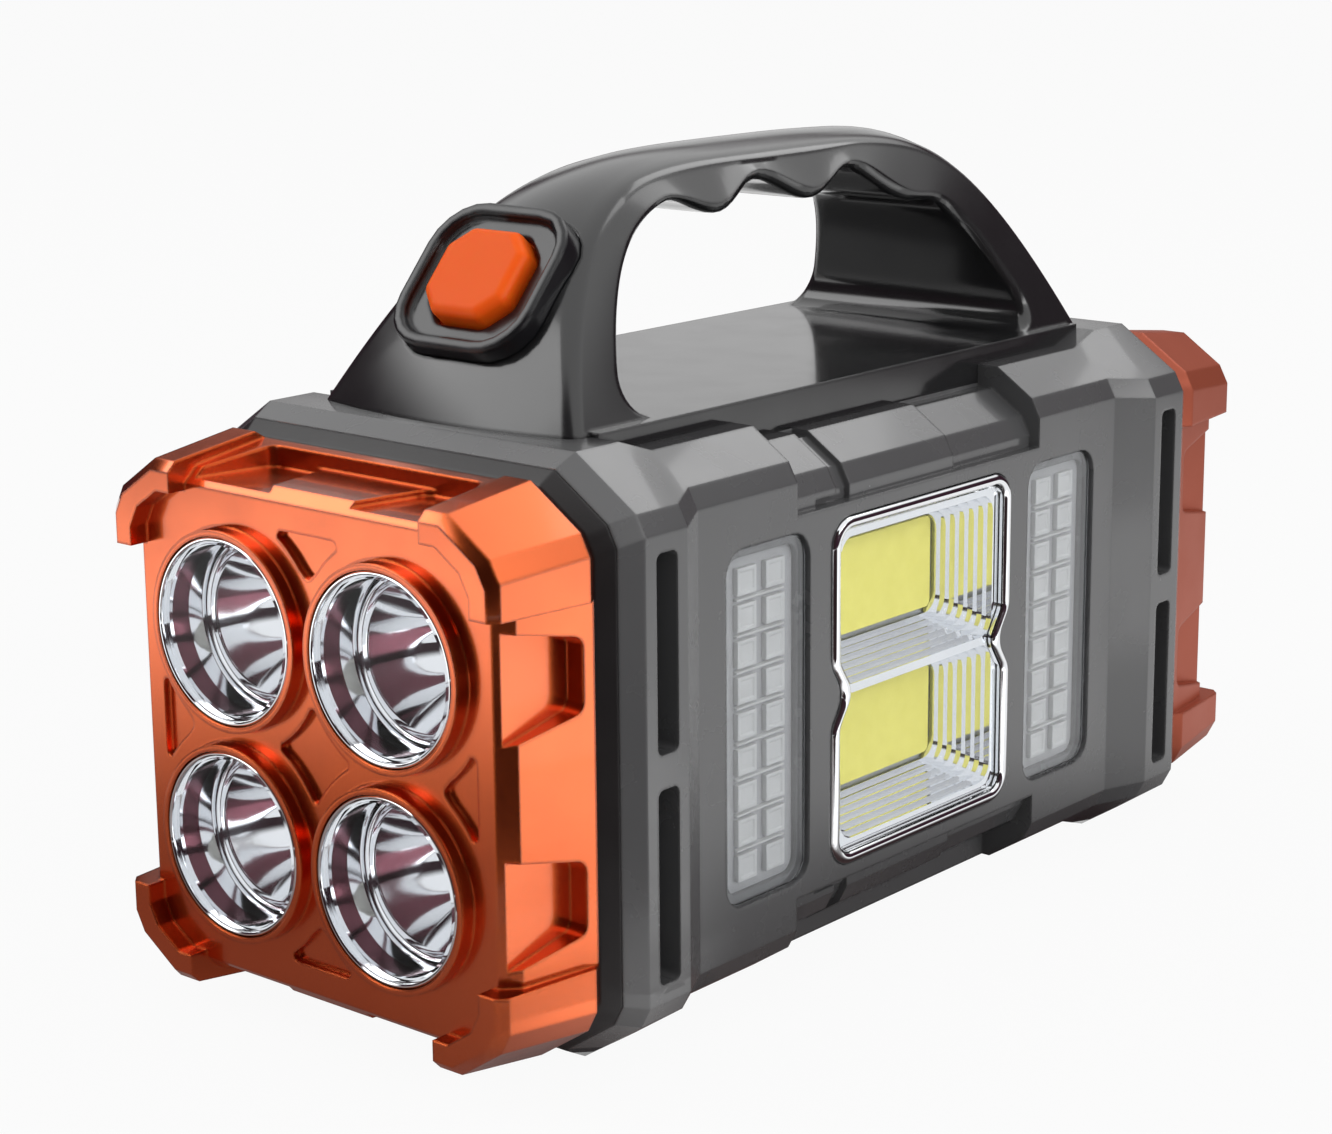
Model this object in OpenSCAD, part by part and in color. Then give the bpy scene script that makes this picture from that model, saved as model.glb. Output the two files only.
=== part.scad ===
// Hand lamp with four front lamps, side floodlights and a fixed arched handle.
// Millimetres. +Z is up, the four lamps face -Y, and the collars stand on z = 0.

/* [Front lamps] */
// Distance between the lamp axes, across and up
lamp_pitch = 27; // [25.5:0.1:30]
// Bore of the bezel for one lamp
lamp_d = 23.6; // [20:0.1:24]
// Wall of the raised ring round a lamp
ring_wall = 0.8; // [0.6:0.1:1.4]
// How far the ring stands in front of the bezel face
ring_rise = 2; // [1.2:0.1:2.8]
// Diameter of the hole in a reflector for its diode
led_hole_d = 5; // [4.6:0.1:7]
// Depth of the bowl at the bottom of a reflector
bowl_depth = 8.5; // [6:0.1:9.5]
// Thickness of a lamp's clear lens
lens_t = 1.2; // [0.8:0.1:1.6]

/* [Body] */
// Space beside the lamps to the side of the middle body
side_margin = 8.1; // [7.6:0.1:12]
// Space above the lamps to the top of the middle body
top_margin = 10.3; // [9.3:0.1:14]
// Length of the middle body between the collars' bevels
mid_l = 92.6; // [90:0.2:110]
// Wall of the middle body
wall = 2.4; // [2:0.1:3]
// Width of the corner chamfer of the middle body
mid_chamfer_w = 7.1; // [6:0.1:8]
// Height of the corner chamfer of the middle body
mid_chamfer_h = 4.7; // [4:0.1:5.4]
// Length of the small facet under each chamfer
corner_facet = 1.7; // [0.5:0.1:2.2]
// Length of the sunk saddle across the shoulders
saddle_l = 54; // [46:0.5:60]
// Depth of the sunk saddle in the chamfers
saddle_depth = 2.6; // [1.4:0.1:3]
// Depth of the sunk saddle in the sides
saddle_side = 1.2; // [0.6:0.1:1.4]
// Width of the groove across a saddle
groove_w = 2.8; // [1.5:0.1:4]
// Depth of that groove
groove_depth = 0.8; // [0.4:0.1:1]

/* [Collars] */
// How far a collar stands out beside the middle body
collar_step = 3.3; // [2.6:0.1:5]
// How far a collar stands out above and below the middle body
collar_rise = 1.9; // [1.5:0.1:3]
// Length of a collar's plain side face
collar_l = 7.5; // [7:0.1:11]
// Length of the bevel from the middle body to a collar
waist_bevel = 5.7; // [4:0.1:7]
// Width of a collar's corner chamfer
collar_chamfer_w = 10.6; // [8.5:0.1:12]
// Height of a collar's corner chamfer
collar_chamfer_h = 7.1; // [6:0.1:7.8]
// Length of the bevel at a collar's outer end
rim_bevel = 3; // [1.6:0.1:4]
// How far that bevel draws in
rim_step = 1.6; // [1:0.1:2]
// Width of a side slot in a collar
slot_w = 3.8; // [2.5:0.1:5]
// Height of a side slot in a collar
slot_h = 24.4; // [18:0.2:26]
// Space between the upper and the lower slot
slot_gap = 4.2; // [3:0.1:8]
// Depth of a side slot
slot_depth = 4; // [1.5:0.1:4.2]

/* [End caps] */
// Thickness of the seal between a collar and an end cap
seal_t = 2.3; // [1.5:0.1:3]
// How far the back edge of an end cap is set in from the collar
cap_step = 3.3; // [2.8:0.1:3.8]
// Length of an end cap from its seal to its face
cap_l = 13.2; // [11:0.1:16]
// How much an end cap narrows on each side towards its face
cap_taper = 1.7; // [0.8:0.1:2]
// Bevel round an end cap's face
edge_bevel = 2; // [0.8:0.1:2.4]
// Thickness of an end cap's face
face_t = 3; // [2.6:0.1:3.6]
// Length of the spigot that enters the body
spigot_l = 7; // [5:0.1:9]
// Wall of that spigot
spigot_t = 2; // [1.5:0.1:2.2]
// How far the corner guards stand in front of the face
guard_rise = 2.6; // [2:0.1:4.5]
// How far the corner guards stand out at the sides
guard_proud = 1; // [0.5:0.1:1.5]
// Wall of a corner guard inside the face's outline
guard_wall = 2.8; // [2:0.1:3.2]
// Length of a corner guard along each side
guard_reach = 10.4; // [8:0.1:11]
// Width of a grip pocket at the face
pocket_front_w = 15; // [12:0.1:16]
// Width of a grip pocket at its blind end
pocket_back_w = 9; // [6:0.1:11]
// Depth of a grip pocket at the face
pocket_depth = 1.3; // [0.8:0.1:1.4]
// Depth of the step between the upper or the lower two grip pockets at the face
pocket_step = 0.5; // [0.2:0.1:0.7]
// Plain rim behind a grip pocket
pocket_rim = 1.6; // [1:0.1:3]
// Depth of the sunk ornaments between the lamps
recess_depth = 0.9; // [0.3:0.1:1.2]
// Radius of the posts that carry a board inside an end cap
boss_r = 2.6; // [2.4:0.1:2.7]

/* [Handle] */
// Height of the arch above the collars
handle_rise = 29.5; // [27:0.1:36]
// Length of each handle foot on its collar
foot_overlap = 3; // [2:0.1:5]
// Width of the handle at its feet
handle_foot_w = 43.4; // [38:0.2:46]
// Width of the handle at the top of the arch
handle_top_w = 13.8; // [12:0.2:18]
// Height of the finger opening above the collars
grip_rise = 25.3; // [22:0.1:26]
// Thickness of the handle's legs at the feet
leg_t = 9.8; // [8.5:0.1:13]
// Distance between the finger ridges
ridge_pitch = 19.5; // [17:0.1:22]
// Depth of the finger ridges
ridge_depth = 3.2; // [1:0.1:4]
// Fillet at the bottom of the finger opening
grip_fillet = 6; // [3:0.1:9]
// Rounding of the handle's outer edges
handle_edge = 2; // [1:0.1:2.5]
// Crown across the handle at its feet
crown_foot = 2.5; // [1:0.1:3]
// Crown across the handle at the top
crown_top = 0.8; // [0.4:0.1:1.2]
// Width of the base rail that joins the feet
rail_w = 46; // [44:0.2:48]
// Height of the base rail above the collars
rail_rise = 0.6; // [0.4:0.1:1.5]

/* [Power button] */
// Width of the button
button_w = 13.4; // [10:0.1:14]
// Length of the button along the slope
button_h = 12.8; // [10:0.1:13.5]
// Chamfer at the button's corners
button_chamfer = 3; // [1.5:0.1:4]
// How far the button stands above the lip of its surround
button_proud = 1.3; // [0.6:0.1:1.8]
// Travel of the button
button_travel = 0.9; // [0.4:0.1:1]
// Width of the surround
surround_w = 22.6; // [20:0.1:23]
// Length of the surround along the slope
surround_h = 21.4; // [19.5:0.1:22.4]
// Width of the surround's raised lip
surround_lip = 1.7; // [1:0.1:2]
// How far the lip stands above the handle's crown
surround_rise = 1.6; // [1.2:0.1:2.4]
// How deep the surround's plate is let into the handle
surround_sink = 1.2; // [0.8:0.1:1.4]
// How deep the surround's skirt is let into the handle
surround_skirt = 2.6; // [2:0.1:3]

/* [Side lights] */
// Length of a floodlight window
flood_w = 40.2; // [36:0.2:42]
// Height of a floodlight window
flood_h = 46.6; // [42:0.2:50]
// Depth of the notch at the waist of a floodlight window
notch_depth = 2.8; // [1.5:0.1:3.5]
// Half height of that notch
notch_h = 4.2; // [3:0.1:6]
// Width of the bright rim of a floodlight
frame_t = 1.7; // [1.2:0.1:2.4]
// How far the rim stands out of the body
frame_proud = 0.6; // [0.3:0.1:1.2]
// Depth of the stepped reflector
flood_depth = 8.5; // [6:0.1:10]
// Number of steps on its walls
flood_steps = 7; // [4:1:9]
// How much a cell narrows on each side from front to floor
flood_draft = 2.9; // [1.5:0.1:3.4]
// Wall between the two cells and round them
cell_wall = 1.2; // [0.9:0.1:1.6]
// Space between a floodlight window and a strip light
strip_gap = 4.3; // [4:0.1:7]
// Length of a strip light's window
strip_w = 16.7; // [15:0.1:18]
// Height of a strip light's window
strip_h = 46; // [44.6:0.2:50]
// Depth of the seat for a strip light's cover
strip_seat = 1.5; // [1.2:0.1:1.6]
// Rows of diodes in a strip light
strip_rows = 9; // [6:1:9]
// Distance between the two columns of diodes
strip_column_pitch = 5.6; // [4.5:0.1:6.4]
// Edge length of one diode
strip_led = 3.4; // [2.8:0.1:3.8]

/* [Inside] */
// Diameter of a battery cell
cell_d = 18.4; // [14:0.1:19]
// Length of a battery cell
cell_l = 65.2; // [50:0.2:70]
// Thickness of the circuit boards
board_t = 1.6; // [1:0.1:2]
// Thickness of the heat sink's plate
sink_t = 3.5; // [2.5:0.1:5]
// Length of the heat sink's fins
fin_l = 5; // [3:0.1:8]

/* [Charging port] */
// Width of the rubber port cover
cover_w = 25; // [20:0.2:30]
// Height of the rubber port cover
cover_h = 13; // [11:0.2:16]
// Thickness of the port cover
cover_t = 1.8; // [1.4:0.1:2]
// Height of the cover's fixed tab
tab_h = 3.4; // [2.5:0.1:5]

/* [Hidden] */

// Clearances: a part let into a seat, a pin or screw in its hole, a board in an end cap
fit = 0.15;
pin_fit = 0.05;
board_gap = 0.4;
// Overshoot of a cut past the face that it opens
over = 1;
$fn = 64;

// Finishes of the photographed object
grey_plastic = "#7c7d80";
dark_plastic = "#4a4a4d";
black_rubber = "#1c1a1a";
plated_orange = "#ef6f36";
satin_orange = "#b85a38";
soft_orange = "#ff6a33";
chrome_finish = "#d7d9dc";
clear_plastic = "#e6eef2";
milky_plastic = "#b9bcc0";
phosphor_yellow = "#e6dc6a";
aluminium_finish = "#b8babd";
board_green = "#2d5f3c";
board_white = "#eceae4";
steel_finish = "#9a9ca0";
cell_wrap = "#3f6fb0";

// A cross section is [width, height, chamfer width, chamfer height, facet]
lamp_group = lamp_pitch + lamp_d;
mid_w = lamp_group + 2 * side_margin;
mid_h = lamp_group + 2 * top_margin;
collar_w = mid_w + 2 * collar_step;
collar_h = mid_h + 2 * collar_rise;
axis_z = collar_h / 2;
mid_section = [mid_w, mid_h, mid_chamfer_w, mid_chamfer_h, corner_facet];
collar_section = [collar_w, collar_h, collar_chamfer_w, collar_chamfer_h, corner_facet];
cavity_section = inset(mid_section, wall);
rim_section = inset(collar_section, rim_step);
cap_section = inset(collar_section, cap_step);
face_section = inset(cap_section, cap_taper);
spigot_section = inset(cap_section, cap_section[0] / 2 - cavity_section[0] / 2 + fit);
cap_cavity_section = inset(spigot_section, spigot_t);
board_section = inset(cap_cavity_section, board_gap);

// Clear depth between the bezel face and the bowls
bowl_gap = 2.6;

// Stations along the body, measured from its middle towards either end
y_mid = mid_l / 2;
y_collar = y_mid + waist_bevel;
y_collar_end = y_collar + collar_l;
y_rim = y_collar_end + rim_bevel;
y_cap = y_rim + seal_t;
y_face = y_cap + cap_l;
y_face_inner = y_face - face_t;
y_tip = y_face + guard_rise;
y_spigot = y_cap - spigot_l;
y_board = y_face_inner - bowl_depth - bowl_gap;
y_board_back = y_board - board_t;
y_sink_back = y_board_back - sink_t;

// Lamp details
cup_r = lamp_d / 2 - fit;
cup_wall = 0.9;
cup_flange = 0.9;
cup_flange_t = 1.2;
cup_sink = 0.1;
cup_lip = 0.5;
bead_w = 0.9;
bead_h = 0.7;
lens_r = cup_r - cup_lip;
cup_bore_r = lens_r - cup_lip;
bowl_r = cup_bore_r - bead_w;
lens_bevel = 0.3;
cup_front = y_face + ring_rise - cup_sink;
bowl_steps = 10;
led_hole_r = led_hole_d / 2;
led_gap = 0.4;
led_base_r = led_hole_r - led_gap;
led_base_h = 0.9;
led_dome_r = led_base_r - led_gap;

// Board posts in the end caps, each beside a side wall and a corner chamfer, and their screws
boss_off = boss_r + fit;
boss_slant = norm([cap_cavity_section[2], cap_cavity_section[3]]) - cap_cavity_section[3];
boss_x = cap_cavity_section[0] / 2 - boss_off;
boss_z = cap_cavity_section[1] / 2 - cap_cavity_section[3] - boss_off * boss_slant / cap_cavity_section[2];
screw_r = 1.2;
screw_head_r = 2.3;
screw_head_h = 1.5;
screw_grip = 5;
hole_r = screw_r + pin_fit;

// Fins of the heat sink
fin_w = 2;
fin_pitch = lamp_pitch / 5;
fin_h = 1.6 * lamp_pitch;

// Corner radius of a grip pocket, and bevel at the tips of the guards
pocket_r = 1.6;
guard_bevel = 1.2;

// Corner radius of a side slot in a collar
slot_r = slot_w / 4;

// Ornaments sunk in the front face
ornament_r = 0.8;
ornament_gap = 2.6;
diamond_half = 6.2;
triangle_half = 6.4;
triangle_tip = lamp_pitch / 2 + 8;
triangle_base = lamp_pitch / 2 + 13.6;

// Handle, seen from the side; s runs from -1 at the front foot to 1 at the back foot
foot_z = collar_h / 2;
arch_half = y_collar + foot_overlap;
opening_half = arch_half - leg_t;
front_power = 4;
rear_power = 5.5;
opening_power = 4.6;
ridge_middle = 6;
arch_steps = 54;
crown_steps = 4;
edge_steps = 4;
inner_edge = 1.6;
handle_screw_x = 13;
handle_screw_off = 3;
handle_screw_y = y_mid + handle_screw_off;
handle_screw_bite = 4.6;
wire_hole_r = 1.8;
wire_hole_up = 9;

// Power button on the front leg; its frame lies on the crown of the slope
button_s = -0.825;
button_point = outer_crown(button_s);
button_slope = slope_at(button_s);
button_r = 1.6;
button_corner = 2 - sqrt(2);
button_gap = 0.3;
button_lip = 1.2;
button_flange_t = 1;
button_play = 0.1;
flange_top = -surround_sink - button_play;
flange_bottom = flange_top - button_flange_t;
switch_gap = 0.3;
switch_top = flange_bottom - button_travel - switch_gap;
switch_t = 2;
switch_w = 5.2;
switch_r = 0.6;
switch_board_w = 8.6;
switch_board_t = 1;
switch_floor = switch_top - switch_t - switch_board_t;
plunger_r = 1.3;
plunger_bore_r = plunger_r + pin_fit;
plunger_entry = 0.8;
plunger_tip = switch_top - plunger_entry;
plunger_stop = plunger_tip - button_travel - button_play;
surround_r = 6.8;
surround_floor = 0.3;

// Side lights, placed from the outer side of the middle body
side_x = mid_w / 2;
inner_x = side_x - wall;
flood_corner = 4;
flange_w = 1.6;
flange_t = 1.2;
flood_lens_t = 1.2;
flood_lens_front = side_x + 0.1;
flood_front = flood_lens_front - flood_lens_t;
flood_back = flood_front - flood_depth;
flood_board_t = 1.2;
emitter_t = 0.6;
emitter_margin = 0.5;
emitter_r = 1;
cell_corner = 2.6;
cell_half_l = flood_w / 2 - frame_t - fit - cell_wall;
cell_half_h = (flood_h / 2 - frame_t - fit - cell_wall - cell_wall / 2) / 2;
cell_z = cell_wall / 2 + cell_half_h;
strip_y = flood_w / 2 + strip_gap + strip_w / 2;
strip_corner = 3.4;
strip_ledge = 1.4;
strip_lens_t = 0.9;
strip_led_t = 0.8;
strip_board_margin = 0.9;
strip_board_t = 1.2;
strip_row_pitch = (strip_h - 2 * strip_ledge - 2 * strip_board_margin) / strip_rows;

// Saddles: their lower edge clears the side lights; the rail's skirts fill their upper ends
rail_skirt = 2;
saddle_z = max(flood_h / 2 + flange_w, strip_h / 2 + strip_board_margin) + fit;
saddle_floor = inset(mid_section, saddle_depth);
saddle_rest = saddle_depth - saddle_side;
saddle_section = [saddle_floor[0] + 2 * saddle_rest, saddle_floor[1], saddle_floor[2] + saddle_rest,
                  saddle_floor[3] * (1 + saddle_rest / saddle_floor[2]), saddle_floor[4]];
groove_y = -0.6 * saddle_l / 2;
groove_hook = 2 * groove_w;
hook_h = 1;
seam_y = 0.3 * saddle_l / 2;
seam_depth = 0.5;

// Battery, laid on the floor of the body
floor_z = axis_z - cavity_section[1] / 2;
holder_floor = 2;
cell_r = cell_d / 2;
cell_play = 0.2;
cell_gap = 0.8;
cell_bevel = 0.8;
cell_cap = 1.4;
cell_x = cell_r + cell_gap / 2;
cell_axis_z = floor_z + holder_floor + cell_r + cell_play;
holder_end = 2.4;
contact_t = 0.6;
contact_w = 9;
holder_l = cell_l + 2 * contact_t + 2 * cell_play + 2 * holder_end;
holder_side = 1.5;
holder_w = 2 * (cell_x + cell_r + holder_side);

// Charging port in the rear cap
port_recess = cover_t + 0.2;
port_floor = y_face - port_recess;
cover_r = 3;
cover_gap = 0.3;
socket_w = 9;
socket_h = 3.3;
socket_wall = 0.4;
socket_r = 1.45;
port_hole_w = socket_w + 1.4;
port_hole_h = socket_h + 1;
port_hole_r = 1.9;
tongue_t = 0.7;
tongue_gap = 0.5;
tongue_r = 1;
cover_half = (cover_h + tab_h) / 2;
hinge_z = axis_z + cover_half - tab_h;
socket_z = hinge_z - cover_h / 2;

// Unit vector along v
function unit(v) = v / norm(v);

// Cross section drawn in by t on every side
function inset(s, t) = let (slant = norm([s[2], s[3]]))
  [s[0] - 2 * t, s[1] - 2 * t,
   s[2] - t * (1 - (slant - s[2]) / s[3]),
   s[3] - t * (1 - (slant - s[3]) / s[2]), s[4]];

// Outline of a cross section, anticlockwise from the right side
function outline(s) = let (
    slant = norm([s[2], s[3]]),
    low = [s[0] / 2, s[1] / 2 - s[3] - s[4]],
    high = [s[0] / 2 - s[4] * s[2] / slant, s[1] / 2 - s[3] + s[4] * s[3] / slant],
    top = [s[0] / 2 - s[2], s[1] / 2],
    corner = [low, high, top])
  concat(corner,
         [for (i = [2:-1:0]) [-corner[i][0], corner[i][1]]],
         [for (i = [0:2]) -corner[i]],
         [for (i = [2:-1:0]) [corner[i][0], -corner[i][1]]]);

// Closed outline with every corner rounded to radius r
function rounded(points, r, steps = 5) = [
  for (i = [0:len(points) - 1])
    let (n = len(points),
         p = points[i],
         to_last = unit(points[(i + n - 1) % n] - p),
         to_next = unit(points[(i + 1) % n] - p),
         half = acos(to_last * to_next) / 2,
         centre = p + unit(to_last + to_next) * r / sin(half),
         from = p + to_last * r / tan(half) - centre,
         to = p + to_next * r / tan(half) - centre,
         start = atan2(from[1], from[0]),
         sweep = atan2(from[0] * to[1] - from[1] * to[0], from * to))
      for (k = [0:steps])
        centre + r * [cos(start + sweep * k / steps), sin(start + sweep * k / steps)]];

// Rectangle of half sizes a and b with rounded corners
function rounded_box(a, b, r) = rounded([[a, -b], [a, b], [-a, b], [-a, -b]], r);

// Outline of a floodlight window, drawn in by t
function flood_outline(t) = let (a = flood_w / 2 - t, b = flood_h / 2 - t)
  rounded([[a, -b], [a, -notch_h], [a - notch_depth, 0], [a, notch_h], [a, b],
           [-a, b], [-a, notch_h], [notch_depth - a, 0], [-a, -notch_h], [-a, -b]],
          flood_corner - t);

// Outer edge of the handle's arch at s
function outer_edge(s) =
  [arch_half * s, foot_z + handle_rise * (1 - pow(abs(s), s < 0 ? front_power : rear_power))];

// Finger ridge at y, a smooth wave over three ridges
function ridge(y) = abs(y - ridge_middle) > 1.5 * ridge_pitch ? 0
  : ridge_depth * (1 + cos(360 * (y - ridge_middle) / ridge_pitch)) / 2;

// How far the fillet at the foot of the opening reaches in, at height z
function fillet_reach(z) = let (up = max(0, z - foot_z - rail_rise))
  up > grip_fillet ? 0 : grip_fillet - sqrt(pow(grip_fillet, 2) - pow(grip_fillet - up, 2));

// Inner edge of the arch at s
function inner_edge_point(s) = let (
    y = opening_half * s,
    z = foot_z + grip_rise * (1 - pow(abs(s), opening_power)))
  [y - sign(s) * fillet_reach(z), z - ridge(y)];

// Half width of the handle at height z
function handle_half(z) =
  (handle_foot_w + (handle_top_w - handle_foot_w) * (z - foot_z) / handle_rise) / 2;

// Crown of the handle's outer face at s
function crown(s) = crown_top + (crown_foot - crown_top) * pow(abs(s), 4);
function outer_crown(s) = let (o = outer_edge(s), i = inner_edge_point(s)) o + crown(s) * unit(o - i);
function slope_at(s) = let (d = outer_crown(s + 0.03) - outer_crown(s - 0.03)) atan2(d[1], d[0]);

// Left half of the handle's section at s: its crown, the rounded outer edge and the rounded inner edge
function handle_half_ring(s) = let (
    o = outer_edge(s),
    i = inner_edge_point(s),
    inward = unit(i - o),
    top = handle_half(o[1]) - handle_edge,
    up = crown(s),
    wide = handle_half((o + inward * handle_edge)[1]) - top,
    turn = atan(2 * up * wide / (top * handle_edge)),
    low = handle_half(i[1]) - inner_edge)
  concat(
    [for (k = [1:crown_steps]) let (u = k / crown_steps)
       [-top * u, o - inward * up * (1 - pow(u, 2))]],
    [for (k = [1:edge_steps]) let (a = turn + (90 - turn) * k / edge_steps)
       [-top - wide * (sin(a) - sin(turn)) / (1 - sin(turn)),
        o + inward * handle_edge * (cos(turn) - cos(a)) / cos(turn)]],
    [for (k = [0:edge_steps]) let (a = 90 * k / edge_steps)
       [-low - inner_edge * cos(a), i - inward * inner_edge * (1 - sin(a))]]);

// Whole section of the handle at s as points in space
function handle_ring(s) = let (
    half = handle_half_ring(s),
    n = len(half))
  [for (p = concat([[0, outer_crown(s)]], half, [[0, inner_edge_point(s)]],
                   [for (k = [n - 1:-1:0]) [-half[k][0], half[k][1]]]))
     [p[0], p[1][0], axis_z + p[1][1]]];

// Solid skinned over rings of equally many points
module skin(rings) {
  n = len(rings[0]);
  m = len(rings);
  polyhedron(
    points = [for (r = rings) for (p = r) p],
    faces = concat(
      [[for (j = [n - 1:-1:0]) j]],
      [for (i = [0:m - 2]) for (j = [0:n - 1])
         [i * n + j, i * n + (j + 1) % n, (i + 1) * n + (j + 1) % n, (i + 1) * n + j]],
      [[for (j = [0:n - 1]) (m - 1) * n + j]]),
    convexity = 6);
}

// Solid lofted along Y through cross sections, given as [y, section]
module loft(stations)
  skin([for (st = stations) [for (p = outline(st[1])) [p[0], st[0], axis_z + p[1]]]]);

// Extrudes a shape drawn as seen from the right, from x0 to x1
module side_plate(x0, x1)
  translate([x0, 0, axis_z]) rotate([90, 0, 90]) linear_extrude(x1 - x0) children();

// Extrudes a shape drawn as seen from the front, from y0 to y1
module front_plate(y0, y1)
  translate([0, y1, axis_z]) rotate([90, 0, 0]) linear_extrude(y1 - y0) children();

// Places children on the right side, or mirrored on the left
module on_side(side) {
  if (side > 0) children();
  else mirror([1, 0, 0]) children();
}

// Places children on a lamp axis, with local Z towards the front
module on_lamp(across, up)
  translate([across * lamp_pitch / 2, 0, axis_z + up * lamp_pitch / 2]) rotate([90, 0, 0]) children();

// Repeats children at the four lamps
module at_lamps()
  for (across = [-1, 1]) for (up = [-1, 1]) on_lamp(across, up) children();

// Repeats children at the four board posts, with local Z towards the front
module at_bosses()
  for (across = [-1, 1]) for (up = [-1, 1])
    translate([across * boss_x, 0, axis_z + up * boss_z]) rotate([90, 0, 0]) children();

// Places children in the frame of the button: local Z out of the slope, local Y up the slope
module on_slope()
  translate([0, button_point[0], axis_z + button_point[1]]) rotate([button_slope, 0, 0]) children();

// Screw with its head from z = 0 downwards and its shank upwards
module screw(shank) {
  cylinder(h = shank, r = screw_r);
  translate([0, 0, -screw_head_h]) cylinder(h = screw_head_h, r = screw_head_r);
}

// Main body

// Zone of the four shoulders from y0 to y1; the upper ones reach in to x, the lower ones to the rail
module shoulder_zone(y0, y1, x, grow = 0)
  for (across = [0, 1]) mirror([across, 0, 0]) {
    translate([x - grow, y0, axis_z + saddle_z]) cube([mid_w, y1 - y0, mid_h]);
    translate([rail_w / 2 + rail_skirt - grow, y0, axis_z - saddle_z - mid_h]) cube([mid_w, y1 - y0, mid_h]);
  }

// Material between the saddle's floor, sunk further by t, and the outside
module shoulder_cut(y0, y1, x, t) difference() {
  shoulder_zone(y0, y1, x);
  loft([[y0 - over, inset(saddle_section, t)], [y1 + over, inset(saddle_section, t)]]);
}

module saddle_cuts() {
  shoulder_cut(-saddle_l / 2, saddle_l / 2, rail_w / 2 - rail_skirt, 0);
  shoulder_cut(seam_y, saddle_l / 2, rail_w / 2, seam_depth);
  shoulder_cut(groove_y - groove_w / 2, groove_y + groove_w / 2, rail_w / 2, groove_depth);
  intersection() {
    shoulder_cut(groove_y - groove_hook, groove_y, rail_w / 2, groove_depth);
    translate([-mid_w, groove_y - groove_hook, axis_z - saddle_z - hook_h])
      cube([2 * mid_w, groove_hook, 2 * (saddle_z + hook_h)]);
  }
}

// Inside of the body, which keeps its wall behind the saddles
module cavity() difference() {
  loft([[-y_rim - over, cavity_section], [y_rim + over, cavity_section]]);
  difference() {
    shoulder_zone(-saddle_l / 2 - wall, saddle_l / 2 + wall, rail_w / 2 - rail_skirt, wall);
    loft([[-y_mid, inset(saddle_section, wall)], [y_mid, inset(saddle_section, wall)]]);
  }
}

module collar_slots()
  for (end = [-1, 1]) for (up = [-1, 1])
    translate([0, end * (y_collar + collar_l / 2), up * (slot_gap + slot_h) / 2])
      side_plate(collar_w / 2 - slot_depth, collar_w / 2 + over)
        polygon(rounded_box(slot_w / 2, slot_h / 2, slot_r));

module window_cuts() {
  side_plate(inner_x - over, collar_w / 2) polygon(flood_outline(0));
  for (end = [-1, 1]) translate([0, end * strip_y, 0]) {
    side_plate(side_x - strip_seat, collar_w / 2)
      polygon(rounded_box(strip_w / 2, strip_h / 2, strip_corner));
    side_plate(inner_x - over, collar_w / 2)
      polygon(rounded_box(strip_w / 2 - strip_ledge, strip_h / 2 - strip_ledge, strip_corner - strip_ledge));
  }
}

module housing() color(grey_plastic) difference() {
  loft([[-y_rim, rim_section], [-y_collar_end, collar_section], [-y_collar, collar_section],
        [-y_mid, mid_section], [y_mid, mid_section],
        [y_collar, collar_section], [y_collar_end, collar_section], [y_rim, rim_section]]);
  cavity();
  saddle_cuts();
  for (side = [-1, 1]) on_side(side) {
    collar_slots();
    window_cuts();
  }
  at_handle_screws() cylinder(h = wall + collar_rise + over, r = hole_r);
  switch_wire_hole();
}

// Handle

module at_handle_screws()
  for (across = [-1, 1]) for (end = [-1, 1])
    translate([across * handle_screw_x, end * handle_screw_y, axis_z + cavity_section[1] / 2]) children();

// Passage for the switch's wires from the front leg into the body
module switch_wire_hole()
  translate([0, -y_mid, axis_z + cavity_section[1] / 2 - over])
    cylinder(h = wall + collar_rise + over + wire_hole_up, r = wire_hole_r);

// Rail between the feet, with a skirt on each side that stands in the saddle
module base_rail() {
  translate([-rail_w / 2, 0, axis_z]) rotate([90, 0, 90]) linear_extrude(rail_w)
    polygon([[-y_collar, foot_z], [-y_mid, mid_h / 2], [y_mid, mid_h / 2], [y_collar, foot_z],
             [y_collar, foot_z + rail_rise], [-y_collar, foot_z + rail_rise]]);
  for (across = [0, 1]) mirror([across, 0, 0])
    translate([rail_w / 2 - rail_skirt, -saddle_l / 2, axis_z + saddle_section[1] / 2])
      cube([rail_skirt, saddle_l, saddle_depth + rail_rise]);
}

// Outline of the surround, drawn in by t
function surround_outline(t) = rounded_box(surround_w / 2 - t, surround_h / 2 - t, surround_r - t);

// Ring of the surround's outer part, with its outline widened by t
module surround_ring(t) difference() {
  polygon(surround_outline(-t));
  polygon(surround_outline(surround_lip + t));
}

// Outline of the button with chamfered corners, widened by t
module button_shape(t) {
  a = button_w / 2 + t;
  b = button_h / 2 + t;
  c = button_chamfer + button_corner * t;
  polygon(rounded([[a, c - b], [a, b - c], [a - c, b], [c - a, b],
                   [-a, b - c], [-a, c - b], [c - a, -b], [a - c, -b]], button_r + t));
}

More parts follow.
